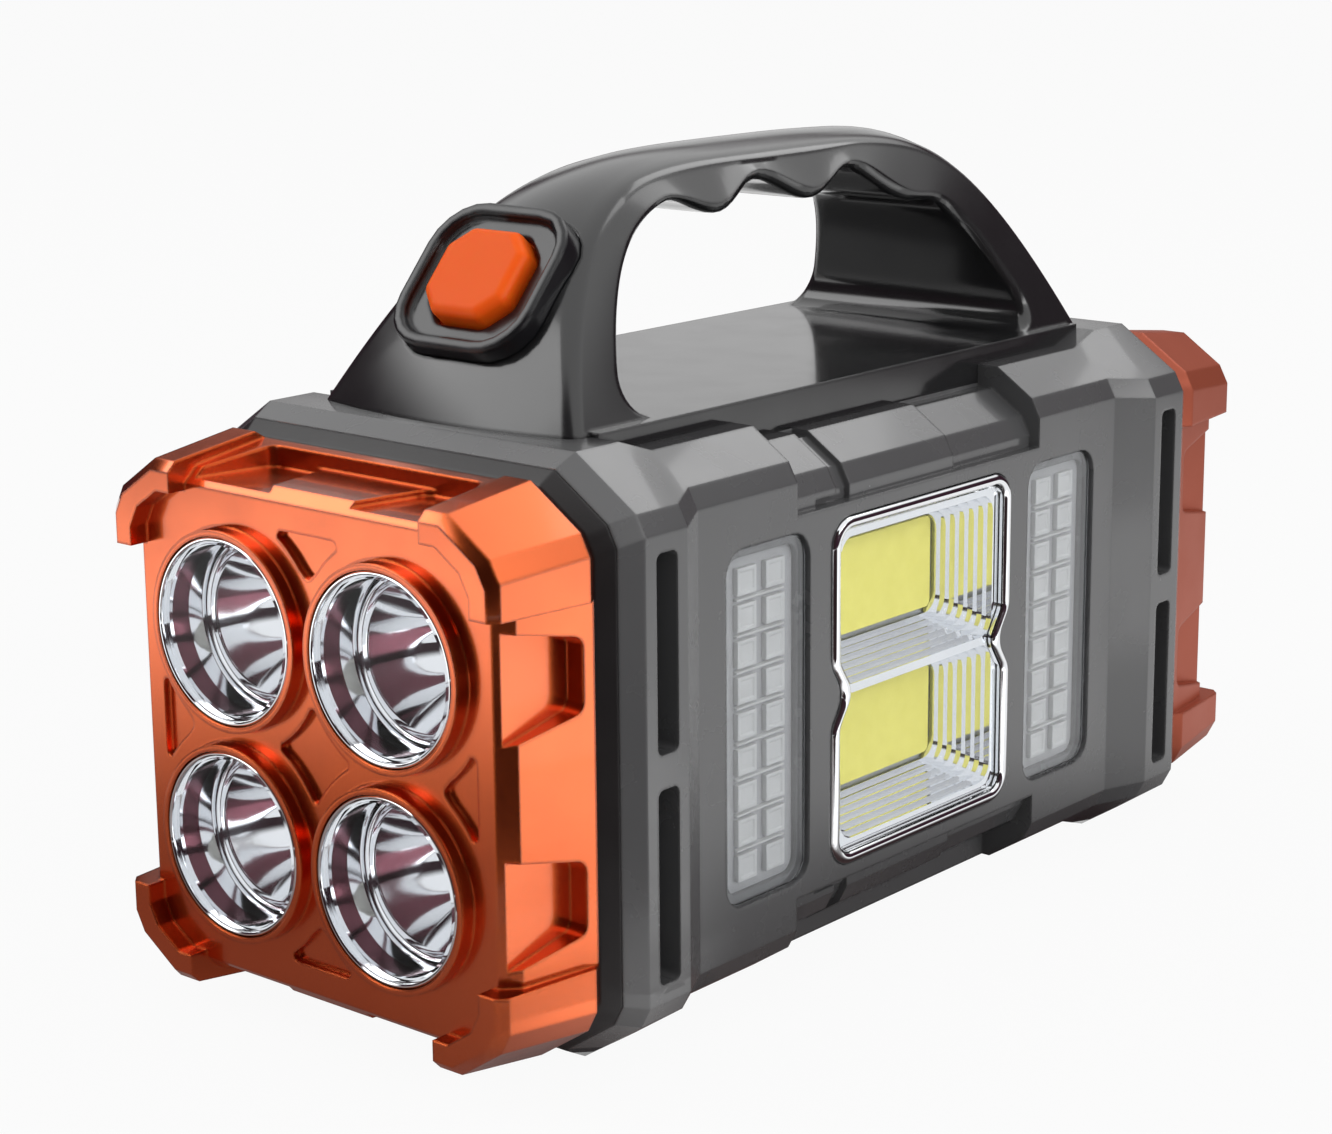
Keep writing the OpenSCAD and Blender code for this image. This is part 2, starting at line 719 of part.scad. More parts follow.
module handle() color(dark_plastic) difference() {
  union() {
    skin([for (k = [-arch_steps:arch_steps]) handle_ring(sin(90 * k / arch_steps))]);
    base_rail();
  }
  on_slope() {
    translate([0, 0, -surround_sink]) linear_extrude(handle_rise) polygon(surround_outline(-fit));
    translate([0, 0, -surround_skirt]) linear_extrude(surround_skirt) surround_ring(fit);
    translate([0, 0, switch_top]) linear_extrude(handle_rise) button_shape(button_lip + button_gap);
    translate([0, 0, switch_floor]) linear_extrude(handle_rise)
      square(switch_board_w + 2 * fit, center = true);
  }
  at_handle_screws() cylinder(h = wall + collar_rise + handle_screw_bite + over, r = hole_r);
  switch_wire_hole();
}

module handle_screws() color(steel_finish)
  at_handle_screws() screw(wall + collar_rise + handle_screw_bite);

// Power button

module power_button() color(soft_orange) on_slope() {
  translate([0, 0, flange_top - over / 2])
    linear_extrude(surround_rise + button_proud - flange_top + over / 2) button_shape(0);
  translate([0, 0, flange_bottom]) linear_extrude(button_flange_t) button_shape(button_lip);
}

module switch_plunger() color(black_rubber) on_slope()
  translate([0, 0, plunger_tip]) cylinder(h = flange_bottom - plunger_tip, r = plunger_r);

// Frame of the button: a plate round it, and a raised lip whose skirt enters the handle
module switch_surround() color(black_rubber) on_slope() {
  translate([0, 0, -surround_sink]) linear_extrude(surround_sink + surround_floor) difference() {
    polygon(surround_outline(surround_lip / 2));
    button_shape(button_gap);
  }
  translate([0, 0, -surround_skirt]) linear_extrude(surround_skirt + surround_rise) surround_ring(0);
}

module tact_switch() color(steel_finish) on_slope() difference() {
  translate([0, 0, switch_top - switch_t]) linear_extrude(switch_t)
    polygon(rounded_box(switch_w / 2, switch_w / 2, switch_r));
  translate([0, 0, plunger_stop]) cylinder(h = switch_t, r = plunger_bore_r);
}

module switch_board() color(board_green) on_slope()
  translate([0, 0, switch_floor]) linear_extrude(switch_board_t)
    square(switch_board_w, center = true);

// End caps

// Two grip pockets in a facet whose front edge lies half from the axis
module pocket_pair(half, angle)
  translate([0, 0, axis_z]) rotate([0, angle, 0])
    for (end = [-1, 1]) translate([half - pocket_depth, 0, end * lamp_pitch / 2]) rotate([90, 0, 90])
      linear_extrude(collar_w)
        polygon(rounded([[-y_cap - pocket_rim, -pocket_back_w / 2], [-y_cap - pocket_rim, pocket_back_w / 2],
                         [-y_tip - over, pocket_front_w / 2], [-y_tip - over, -pocket_front_w / 2]],
                        pocket_r));

// Step between the two grip pockets of the upper or the lower facet
module pocket_bridge(angle)
  translate([0, 0, axis_z]) rotate([0, angle, 0])
    translate([face_section[1] / 2 - pocket_step, -y_tip - over, -lamp_pitch / 2])
      cube([collar_w, y_tip + over - y_cap - pocket_rim, lamp_pitch]);

module corner_guards() intersection() {
  loft([[-y_tip, inset(face_section, guard_bevel - guard_proud)],
        [-y_tip + guard_bevel, inset(face_section, -guard_proud)],
        [-y_cap - pocket_rim, inset(cap_section, -guard_proud)],
        [-y_cap, cap_section]]);
  for (across = [0, 1]) for (up = [0, 1]) mirror([across, 0, 0])
    translate([face_section[0] / 2 - guard_reach, -y_tip - over,
               up > 0 ? axis_z + face_section[1] / 2 - guard_reach : 0])
      cube([collar_w, cap_l + guard_rise + over, axis_z - face_section[1] / 2 + guard_reach]);
}

// Shell that both end caps share, facing the front
module cap_shell() difference() {
  union() {
    loft([[-y_face, inset(face_section, edge_bevel)], [-y_face + edge_bevel, face_section],
          [-y_cap, cap_section]]);
    loft([[-y_cap - over, spigot_section], [-y_spigot, spigot_section]]);
    corner_guards();
  }
  loft([[-y_tip - over, inset(face_section, guard_wall)], [-y_face, inset(face_section, guard_wall)]]);
  difference() {
    loft([[-y_face_inner, cap_cavity_section], [-y_spigot + over, cap_cavity_section]]);
    at_bosses() translate([0, 0, y_board]) cylinder(h = face_t + y_face_inner - y_board, r = boss_r);
  }
  for (angle = [0, 180]) pocket_pair(face_section[0] / 2, angle);
  for (angle = [90, 270]) {
    pocket_pair(face_section[1] / 2, angle);
    pocket_bridge(angle);
  }
  at_bosses() translate([0, 0, y_board - over]) cylinder(h = screw_grip + 2 * over, r = hole_r);
}

// Ornaments sunk between the lamps, with sides that follow the rings: a diamond, and a triangle on each side
module face_ornaments() difference() {
  front_plate(-y_tip, -y_face + recess_depth) {
    polygon(rounded([[diamond_half, 0], [0, diamond_half], [-diamond_half, 0], [0, -diamond_half]],
                    ornament_r));
    for (angle = [0:90:270]) rotate(angle)
      polygon(rounded([[triangle_base, -triangle_half], [triangle_base, triangle_half], [triangle_tip, 0]],
                      ornament_r));
  }
  at_lamps() translate([0, 0, y_face_inner])
    cylinder(h = face_t + guard_rise + over, r = lamp_d / 2 + ring_wall + ornament_gap);
}

module front_bezel() color(plated_orange) difference() {
  union() {
    difference() {
      cap_shell();
      face_ornaments();
    }
    at_lamps() translate([0, 0, y_face_inner]) cylinder(h = face_t + ring_rise, r = lamp_d / 2 + ring_wall);
  }
  at_lamps() translate([0, 0, y_face_inner - over])
    cylinder(h = face_t + ring_rise + 2 * over, r = lamp_d / 2);
}

module seal_ring() difference() {
  loft([[-y_cap, cap_section], [-y_rim, rim_section]]);
  loft([[-y_cap - over, inset(spigot_section, -fit)], [-y_rim + over, inset(spigot_section, -fit)]]);
}

module front_seal() color(black_rubber) seal_ring();

module rear_seal() color(black_rubber) mirror([0, 1, 0]) seal_ring();

// Front lamps

module lamp_reflector(across, up) color(chrome_finish) on_lamp(across, up) {
  rise = bowl_depth / (pow(bowl_r, 2) - pow(led_hole_r, 2));
  bowl = [for (k = [0:bowl_steps])
            let (r = led_hole_r + (bowl_r - led_hole_r) * k / bowl_steps)
              [r, y_board + rise * (pow(r, 2) - pow(led_hole_r, 2))]];
  rotate_extrude() polygon(concat(
    bowl,
    [[bowl_r, y_board + bowl_depth + bead_h], [cup_bore_r, y_board + bowl_depth + bead_h],
     [cup_bore_r, cup_front - lens_t], [lens_r + pin_fit, cup_front - lens_t],
     [lens_r + pin_fit, cup_front], [cup_r, cup_front],
     [cup_r, y_face_inner], [cup_r + cup_flange, y_face_inner],
     [cup_r + cup_flange, y_face_inner - cup_flange_t], [cup_r, y_face_inner - cup_flange_t]],
    [for (k = [bowl_steps:-1:0]) bowl[k] + [cup_wall, 0]]));
}

module lamp_lens(across, up) color(clear_plastic) on_lamp(across, up)
  translate([0, 0, cup_front - lens_t]) rotate_extrude()
    polygon([[0, 0], [lens_r, 0], [lens_r, lens_t - lens_bevel], [lens_r - lens_bevel, lens_t], [0, lens_t]]);

module front_leds() color(phosphor_yellow) at_lamps() translate([0, 0, y_board]) {
  cylinder(h = led_base_h, r = led_base_r);
  translate([0, 0, led_base_h]) intersection() {
    sphere(r = led_dome_r);
    cylinder(h = led_dome_r, r = led_dome_r);
  }
}

module front_led_board() color(board_white) difference() {
  front_plate(-y_board, -y_board_back) polygon(outline(board_section));
  at_bosses() translate([0, 0, y_board_back - over]) cylinder(h = board_t + 2 * over, r = hole_r);
}

module heat_sink() color(aluminium_finish) difference() {
  union() {
    front_plate(-y_board_back, -y_sink_back) polygon(outline(board_section));
    for (k = [-3:3]) translate([k * fin_pitch - fin_w / 2, -y_sink_back - over, axis_z - fin_h / 2])
      cube([fin_w, fin_l + over, fin_h]);
  }
  at_bosses() translate([0, 0, y_sink_back - over]) cylinder(h = sink_t + 2 * over, r = hole_r);
}

module front_board_screws() color(steel_finish)
  at_bosses() translate([0, 0, y_sink_back]) screw(sink_t + board_t + screw_grip);

// Rear cap, driver and charging port

module rear_cap() color(satin_orange) difference() {
  mirror([0, 1, 0]) cap_shell();
  cover_plate(port_recess + guard_rise) polygon(cover_outline(cover_gap));
  translate([0, y_face_inner - over, socket_z]) rotate([-90, 0, 0]) linear_extrude(face_t)
    polygon(rounded_box(port_hole_w / 2, port_hole_h / 2, port_hole_r));
}

module driver_board() color(board_green) mirror([0, 1, 0]) difference() {
  front_plate(-y_board, -y_board_back) polygon(outline(board_section));
  at_bosses() translate([0, 0, y_board_back - over]) cylinder(h = board_t + 2 * over, r = hole_r);
}

// Coil, capacitors and chips on the inner face of the driver board
module driver_components() color(dark_plastic) {
  coil_r = 6;
  coil_h = 6;
  can_r = 3;
  can_h = 8;
  chip_w = 8;
  chip_t = 2;
  translate([-lamp_pitch / 2, y_board_back, axis_z + lamp_pitch / 3]) rotate([90, 0, 0]) difference() {
    cylinder(h = coil_h, r = coil_r);
    translate([0, 0, over]) cylinder(h = coil_h, r = coil_r / 2);
  }
  for (k = [0:2]) translate([k * lamp_pitch / 3, y_board_back, axis_z + lamp_pitch / 2])
    rotate([90, 0, 0]) cylinder(h = can_h, r = can_r);
  for (k = [-1:1])
    translate([k * lamp_pitch / 2 - chip_w / 2, y_board_back - chip_t, axis_z - lamp_pitch / 2])
      cube([chip_w, chip_t, chip_w]);
}

module driver_board_screws() color(steel_finish) mirror([0, 1, 0])
  at_bosses() translate([0, 0, y_board_back]) screw(board_t + screw_grip);

// Outline of the socket's shell, drawn in by t
function socket_outline(t) = rounded_box(socket_w / 2 - t, socket_h / 2 - t, socket_r - t);

module charge_socket() color(steel_finish)
  translate([0, y_board, socket_z]) rotate([-90, 0, 0]) difference() {
    linear_extrude(y_face_inner - y_board) polygon(socket_outline(0));
    translate([0, 0, (y_face_inner - y_board) / 3]) linear_extrude(y_face_inner)
      polygon(socket_outline(socket_wall));
  }

// Outline of the cover and its tab together, widened by t, with Y up
function cover_outline(t) = rounded_box(cover_w / 2 + t, cover_half + t, cover_r + t);

// Extrudes a shape in the port's recess, outwards from its floor
module cover_plate(t)
  translate([0, port_floor + t, axis_z]) rotate([90, 0, 0]) linear_extrude(t) children();

// Cover, with a tongue that fills the mouth of the port
module port_cover() color(black_rubber) {
  translate([0, port_recess - cover_t, 0]) cover_plate(cover_t) intersection() {
    polygon(cover_outline(0));
    translate([-cover_w / 2, -cover_half]) square([cover_w, cover_h - cover_gap / 2]);
  }
  translate([0, y_face - cover_t - tongue_t, socket_z]) rotate([-90, 0, 0]) linear_extrude(tongue_t + over)
    polygon(rounded_box(port_hole_w / 2 - tongue_gap, port_hole_h / 2 - tongue_gap, tongue_r));
}

module port_cover_tab() color(black_rubber) cover_plate(cover_t) intersection() {
  polygon(cover_outline(0));
  translate([-cover_w / 2, cover_half - tab_h + cover_gap / 2]) square([cover_w, tab_h]);
}

// Side floodlights

module flood_frame(side) color(chrome_finish) on_side(side) {
  side_plate(inner_x - flange_t, inner_x) difference() {
    polygon(flood_outline(-flange_w));
    polygon(flood_outline(frame_t));
  }
  side_plate(inner_x - flange_t, side_x + frame_proud) difference() {
    polygon(flood_outline(fit));
    polygon(flood_outline(frame_t));
  }
}

module flood_reflector(side) color(chrome_finish) on_side(side) difference() {
  union() {
    side_plate(flood_back, flood_front) polygon(flood_outline(frame_t + fit));
    side_plate(inner_x - 2 * flange_t, inner_x - flange_t) polygon(flood_outline(-flange_w));
  }
  for (up = [-1, 1]) for (k = [0:flood_steps - 1]) {
    draft = flood_draft * k / (flood_steps - 1);
    translate([0, 0, up * cell_z])
      side_plate(k == flood_steps - 1 ? flood_back - over : flood_front - flood_depth * (k + 1) / flood_steps,
                 flood_front + over)
        polygon(rounded_box(cell_half_l - draft, cell_half_h - draft, cell_corner));
  }
}

module flood_lens(side) color(clear_plastic, 0.35) on_side(side)
  side_plate(flood_front, flood_lens_front) polygon(flood_outline(frame_t + fit));

module flood_board(side) color(aluminium_finish) on_side(side)
  side_plate(flood_back - flood_board_t, flood_back) polygon(flood_outline(frame_t + fit));

module flood_emitters(side) color(phosphor_yellow) on_side(side)
  for (up = [-1, 1]) translate([0, 0, up * cell_z]) side_plate(flood_back, flood_back + emitter_t)
    polygon(rounded_box(cell_half_l - flood_draft - emitter_margin,
                        cell_half_h - flood_draft - emitter_margin, emitter_r));

// Strip lights, end -1 at the front and 1 at the back

module strip_lens(side, end) color(milky_plastic, 0.5) on_side(side) translate([0, end * strip_y, 0])
  side_plate(side_x - strip_seat, side_x - strip_seat + strip_lens_t)
    polygon(rounded_box(strip_w / 2 - fit, strip_h / 2 - fit, strip_corner - fit));

module strip_board(side, end) color(board_white) on_side(side) translate([0, end * strip_y, 0])
  side_plate(inner_x - strip_board_t, inner_x)
    square([strip_w + 2 * strip_board_margin, strip_h + 2 * strip_board_margin], center = true);

module strip_leds(side, end) color(board_white) on_side(side)
  for (column = [-1, 1]) for (row = [0:strip_rows - 1])
    translate([0, end * strip_y + column * strip_column_pitch / 2,
               (row - (strip_rows - 1) / 2) * strip_row_pitch])
      side_plate(inner_x, inner_x + strip_led_t) square(strip_led, center = true);

// Battery

module battery_holder() color(black_rubber) difference() {
  translate([-holder_w / 2, -holder_l / 2, floor_z]) cube([holder_w, holder_l, holder_floor + cell_r * 1.5]);
  for (across = [-1, 1]) translate([across * cell_x, -cell_l / 2 - contact_t - cell_play, cell_axis_z])
    rotate([-90, 0, 0]) cylinder(h = cell_l + 2 * contact_t + 2 * cell_play, r = cell_r + cell_play);
}

module battery_cell(across) color(cell_wrap)
  translate([across * cell_x, -cell_l / 2, cell_axis_z]) rotate([-90, 0, 0]) rotate_extrude()
    polygon([[0, 0], [cell_r - cell_bevel, 0], [cell_r, cell_bevel],
             [cell_r, cell_l - cell_cap - cell_bevel], [cell_r - cell_bevel, cell_l - cell_cap],
             [cell_r / 3, cell_l - cell_cap], [cell_r / 3, cell_l], [0, cell_l]]);

module battery_contacts() color(steel_finish)
  for (across = [-1, 1]) for (end = [0, 1]) mirror([0, end, 0])
    translate([across * cell_x - contact_w / 2, cell_l / 2 + cell_play, cell_axis_z - contact_w / 2])
      cube([contact_w, contact_t, contact_w]);

housing();
handle();
handle_screws();
front_bezel();
front_seal();
lamp_reflector(-1, 1);  // reflector_upper_left
lamp_reflector(1, 1);  // reflector_upper_right
lamp_reflector(-1, -1);  // reflector_lower_left
lamp_reflector(1, -1);  // reflector_lower_right
lamp_lens(-1, 1);  // lens_upper_left
lamp_lens(1, 1);  // lens_upper_right
lamp_lens(-1, -1);  // lens_lower_left
lamp_lens(1, -1);  // lens_lower_right
front_leds();
front_led_board();
heat_sink();
front_board_screws();
rear_cap();
rear_seal();
driver_board();
driver_components();
driver_board_screws();
charge_socket();
port_cover();
port_cover_tab();
flood_frame(1);  // flood_frame_right
flood_frame(-1);  // flood_frame_left
flood_reflector(1);  // flood_reflector_right
flood_reflector(-1);  // flood_reflector_left
flood_lens(1);  // flood_lens_right
flood_lens(-1);  // flood_lens_left
flood_board(1);  // flood_board_right
flood_board(-1);  // flood_board_left
flood_emitters(1);  // flood_emitters_right
flood_emitters(-1);  // flood_emitters_left
strip_lens(1, -1);  // strip_lens_front_right
strip_lens(1, 1);  // strip_lens_rear_right
strip_lens(-1, -1);  // strip_lens_front_left
strip_lens(-1, 1);  // strip_lens_rear_left
strip_board(1, -1);  // strip_board_front_right
strip_board(1, 1);  // strip_board_rear_right
strip_board(-1, -1);  // strip_board_front_left
strip_board(-1, 1);  // strip_board_rear_left
strip_leds(1, -1);  // strip_leds_front_right
strip_leds(1, 1);  // strip_leds_rear_right
strip_leds(-1, -1);  // strip_leds_front_left
strip_leds(-1, 1);  // strip_leds_rear_left
power_button();
switch_plunger();
switch_surround();
tact_switch();
switch_board();
battery_holder();
battery_cell(-1);  // battery_cell_left
battery_cell(1);  // battery_cell_right
battery_contacts();
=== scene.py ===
"""Looks of a hand lamp with four front lamps, side floodlights and a fixed arched handle.

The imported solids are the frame. Most of them stay and get a finish, and the small ones rounded edges; the lamp cups,
the floodlights' rims, the strips' diodes and the power button get finer meshes that stand for their solids. Lengths in
the classes are in millimetres, as on a drawing, and become metres where a mesh is made.
"""

import logging
import math
from dataclasses import dataclass, field
from enum import Enum
from typing import Any, ClassVar, Optional, Protocol, Sequence, Union

import bpy
from mathutils import Matrix, Vector


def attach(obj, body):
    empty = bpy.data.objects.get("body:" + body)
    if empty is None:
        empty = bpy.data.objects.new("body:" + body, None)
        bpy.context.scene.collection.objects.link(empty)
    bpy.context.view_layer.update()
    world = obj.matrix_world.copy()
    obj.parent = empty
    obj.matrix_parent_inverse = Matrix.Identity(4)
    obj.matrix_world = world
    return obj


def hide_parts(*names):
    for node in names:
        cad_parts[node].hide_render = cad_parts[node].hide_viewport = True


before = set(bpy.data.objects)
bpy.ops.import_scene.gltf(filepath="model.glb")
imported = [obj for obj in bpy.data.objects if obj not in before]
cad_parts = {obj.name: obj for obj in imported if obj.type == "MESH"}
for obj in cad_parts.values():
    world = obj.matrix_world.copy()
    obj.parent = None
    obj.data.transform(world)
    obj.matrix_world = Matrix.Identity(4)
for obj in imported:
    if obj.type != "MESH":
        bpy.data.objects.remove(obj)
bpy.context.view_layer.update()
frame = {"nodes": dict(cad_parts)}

LOG = logging.getLogger("hand_lamp")
MM = 0.001
WHITE = "#ffffff"
# Sockets of Blender's Mix node: the factor, then both inputs and the output for numbers and for colours
MIX_FACTOR = 0
NUMBER_A, NUMBER_B, NUMBER_OUT = 2, 3, 0
COLOUR_A, COLOUR_B, COLOUR_OUT = 6, 7, 2
# Degrees between two faces from which their edge is sharp, and up to which they are flat
SHARP_ANGLE, FLAT_ANGLE = 24.0, 0.6
# Distance in millimetres within which corners are one
SAME_CORNER = 0.002
# Corners of a rectangle as signs of its half sides, anticlockwise
CORNERS = ((-1, -1), (1, -1), (1, 1), (-1, 1))

Value = Union[float, Sequence[float], bpy.types.NodeSocket]
Point = tuple[float, float, float]
Face = tuple[int, ...]
Outline = list[tuple[float, float]]
Shape = tuple[list[Point], list[Face]]


class Side(Enum):
    """The two long sides of the body, with the sign of X."""

    RIGHT = 1
    LEFT = -1


class End(Enum):
    """The two ends of the body, with the sign of Y."""

    FRONT = -1
    REAR = 1


class Level(Enum):
    """The two rows of front lamps, with the sign of Z."""

    UPPER = 1
    LOWER = -1


def linear(code: str) -> tuple[float, float, float, float]:
    """Turns an sRGB hex colour to linear light.

    Args:
        code: colour as "#rrggbb".

    Returns:
        Linear red, green, blue and an alpha of one.
    """
    parts = [int(code[i:i + 2], 16) / 255 for i in (1, 3, 5)]
    red, green, blue = (c / 12.92 if c <= 0.04045 else ((c + 0.055) / 1.055) ** 2.4 for c in parts)
    return red, green, blue, 1.0


def add_node(tree: bpy.types.NodeTree, kind: str, inputs: Optional[dict[Any, Value]] = None,
             **settings: Any) -> bpy.types.Node:
    """Adds one shader node.

    Args:
        tree: node tree that takes it.
        kind: Blender's type of the node.
        inputs: a value, or another node's output, for each socket.
        settings: the node's own options.

    Returns:
        The new node.
    """
    node = tree.nodes.new(kind)
    for option, choice in settings.items():
        setattr(node, option, choice)
    for socket, value in (inputs or {}).items():
        if isinstance(value, bpy.types.NodeSocket):
            tree.links.new(value, node.inputs[socket])
        else:
            node.inputs[socket].default_value = value
    return node


def per_mm(size: float) -> float:
    """Texture scale at which one feature of a pattern has a given size.

    Args:
        size: size of the feature in millimetres.

    Returns:
        The scale, in features per metre.
    """
    return 1 / (size * MM)


def new_material(name: str) -> tuple[bpy.types.Material, bpy.types.NodeTree]:
    """Begins a material.

    Args:
        name: name of the material.

    Returns:
        The material and its empty node tree.
    """
    material = bpy.data.materials.new(name)
    material.use_nodes = True
    material.node_tree.nodes.clear()
    return material, material.node_tree


def add_object(name: str, data: bpy.types.ID) -> bpy.types.Object:
    """Adds an object to the scene.

    Args:
        name: name of the object.
        data: its mesh, light or camera.

    Returns:
        The object.
    """
    thing = bpy.data.objects.new(name, data)
    bpy.context.scene.collection.objects.link(thing)
    return thing


def add_mesh(name: str, points: Sequence[Point], faces: Sequence[Face],
             material: bpy.types.Material) -> bpy.types.Object:
    """Adds a mesh to the scene.

    Args:
        name: name of the object.
        points: its corners in millimetres.
        faces: corners of each face.
        material: its material.

    Returns:
        The object.
    """
    mesh = bpy.data.meshes.new(name)
    mesh.from_pydata([tuple(c * MM for c in point) for point in points], [], faces)
    mesh.materials.append(material)
    return add_object(name, mesh)


# Finishes


@dataclass(frozen=True)
class Finish:
    """A real material and the way its surface was made.

    Every finish has a fine relief, a slow drift of colour and an uneven gloss, at sizes in millimetres. The finish of a
    large moulding also turns its edges in the shading, with the radius of its tool.
    """

    DRIFT_DETAIL: ClassVar[float] = 3.0
    GLOSS_DETAIL: ClassVar[float] = 4.0
    RELIEF_DETAIL: ClassVar[float] = 2.0
    # Values between which most of Blender's noise lies
    NOISE_LOW: ClassVar[float] = 0.3
    NOISE_HIGH: ClassVar[float] = 0.7
    BEST_POLISH: ClassVar[float] = 0.02

    name: str
    colour: str
    shade: str
    roughness: float = 0.4
    metallic: float = 0.0
    ior: float = 1.5
    relief_mm: float = 0.6
    relief_depth: float = 0.004
    drift_mm: float = 18.0
    gloss_mm: float = 7.0
    gloss_spread: float = 0.06
    edge_mm: float = 0.0
    stretch: tuple[float, float, float] = (1.0, 1.0, 1.0)
    sockets: dict[str, Any] = field(default_factory=dict)

    def build(self) -> bpy.types.Material:
        """Makes the material.

        Returns:
            A procedural material with this finish.
        """
        material, tree = new_material(self.name)
        place = add_node(tree, "ShaderNodeTexCoord").outputs["Object"]
        place = add_node(tree, "ShaderNodeMapping", {"Vector": place, "Scale": self.stretch}).outputs["Vector"]
        surface = add_node(tree, "ShaderNodeBsdfPrincipled", {
            "Base Color": self.tint(tree, place),
            "Roughness": self.gloss(tree, place),
            "Metallic": self.metallic,
            "Normal": self.relief(tree, place),
            **({} if self.metallic else {"IOR": self.ior}),
            **self.sockets,
        })
        add_node(tree, "ShaderNodeOutputMaterial", {"Surface": surface.outputs["BSDF"]})
        return material

    def tint(self, tree: bpy.types.NodeTree, place: bpy.types.NodeSocket) -> bpy.types.NodeSocket:
        """Colour that drifts slowly between the two tones of the material.

        Args:
            tree: node tree of the material.
            place: texture coordinates.

        Returns:
            The colour.
        """
        return add_node(tree, "ShaderNodeMix", {
            MIX_FACTOR: self.noise(tree, place, self.drift_mm, self.DRIFT_DETAIL),
            COLOUR_A: linear(self.colour),
            COLOUR_B: linear(self.shade),
        }, data_type="RGBA").outputs[COLOUR_OUT]

    def gloss(self, tree: bpy.types.NodeTree, place: bpy.types.NodeSocket) -> bpy.types.NodeSocket:
        """Roughness that varies a little over the surface, as handling leaves it.

        Args:
            tree: node tree of the material.
            place: texture coordinates.

        Returns:
            The roughness.
        """
        half = self.gloss_spread / 2
        return add_node(tree, "ShaderNodeMapRange", {
            "Value": self.noise(tree, place, self.gloss_mm, self.GLOSS_DETAIL),
            "From Min": self.NOISE_LOW,
            "From Max": self.NOISE_HIGH,
            "To Min": max(self.BEST_POLISH, self.roughness - half),
            "To Max": self.roughness + half,
        }).outputs["Result"]

    def relief(self, tree: bpy.types.NodeTree, place: bpy.types.NodeSocket) -> bpy.types.NodeSocket:
        """Fine unevenness of the surface, with turned edges on a moulding.

        Args:
            tree: node tree of the material.
            place: texture coordinates.

        Returns:
            The shading normal.
        """
        turned = {}
        if self.edge_mm:
            turned["Normal"] = add_node(tree, "ShaderNodeBevel", {"Radius": self.edge_mm * MM}).outputs["Normal"]
        return add_node(tree, "ShaderNodeBump", {
            "Height": self.noise(tree, place, self.relief_mm, self.RELIEF_DETAIL),
            "Strength": 1.0,
            "Distance": self.relief_depth * MM,
            **turned,
        }).outputs["Normal"]

    @staticmethod
    def noise(tree: bpy.types.NodeTree, place: bpy.types.NodeSocket, size: float,
              detail: float) -> bpy.types.NodeSocket:
        """Soft noise, the pattern under every finish.

        Args:
            tree: node tree of the material.
            place: texture coordinates.
            size: size of one patch in millimetres.
            detail: how many finer layers it has.

        Returns:
            The noise, from zero to one.
        """
        return add_node(tree, "ShaderNodeTexNoise", {
            "Vector": place, "Scale": per_mm(size), "Detail": detail,
        }).outputs["Fac"]


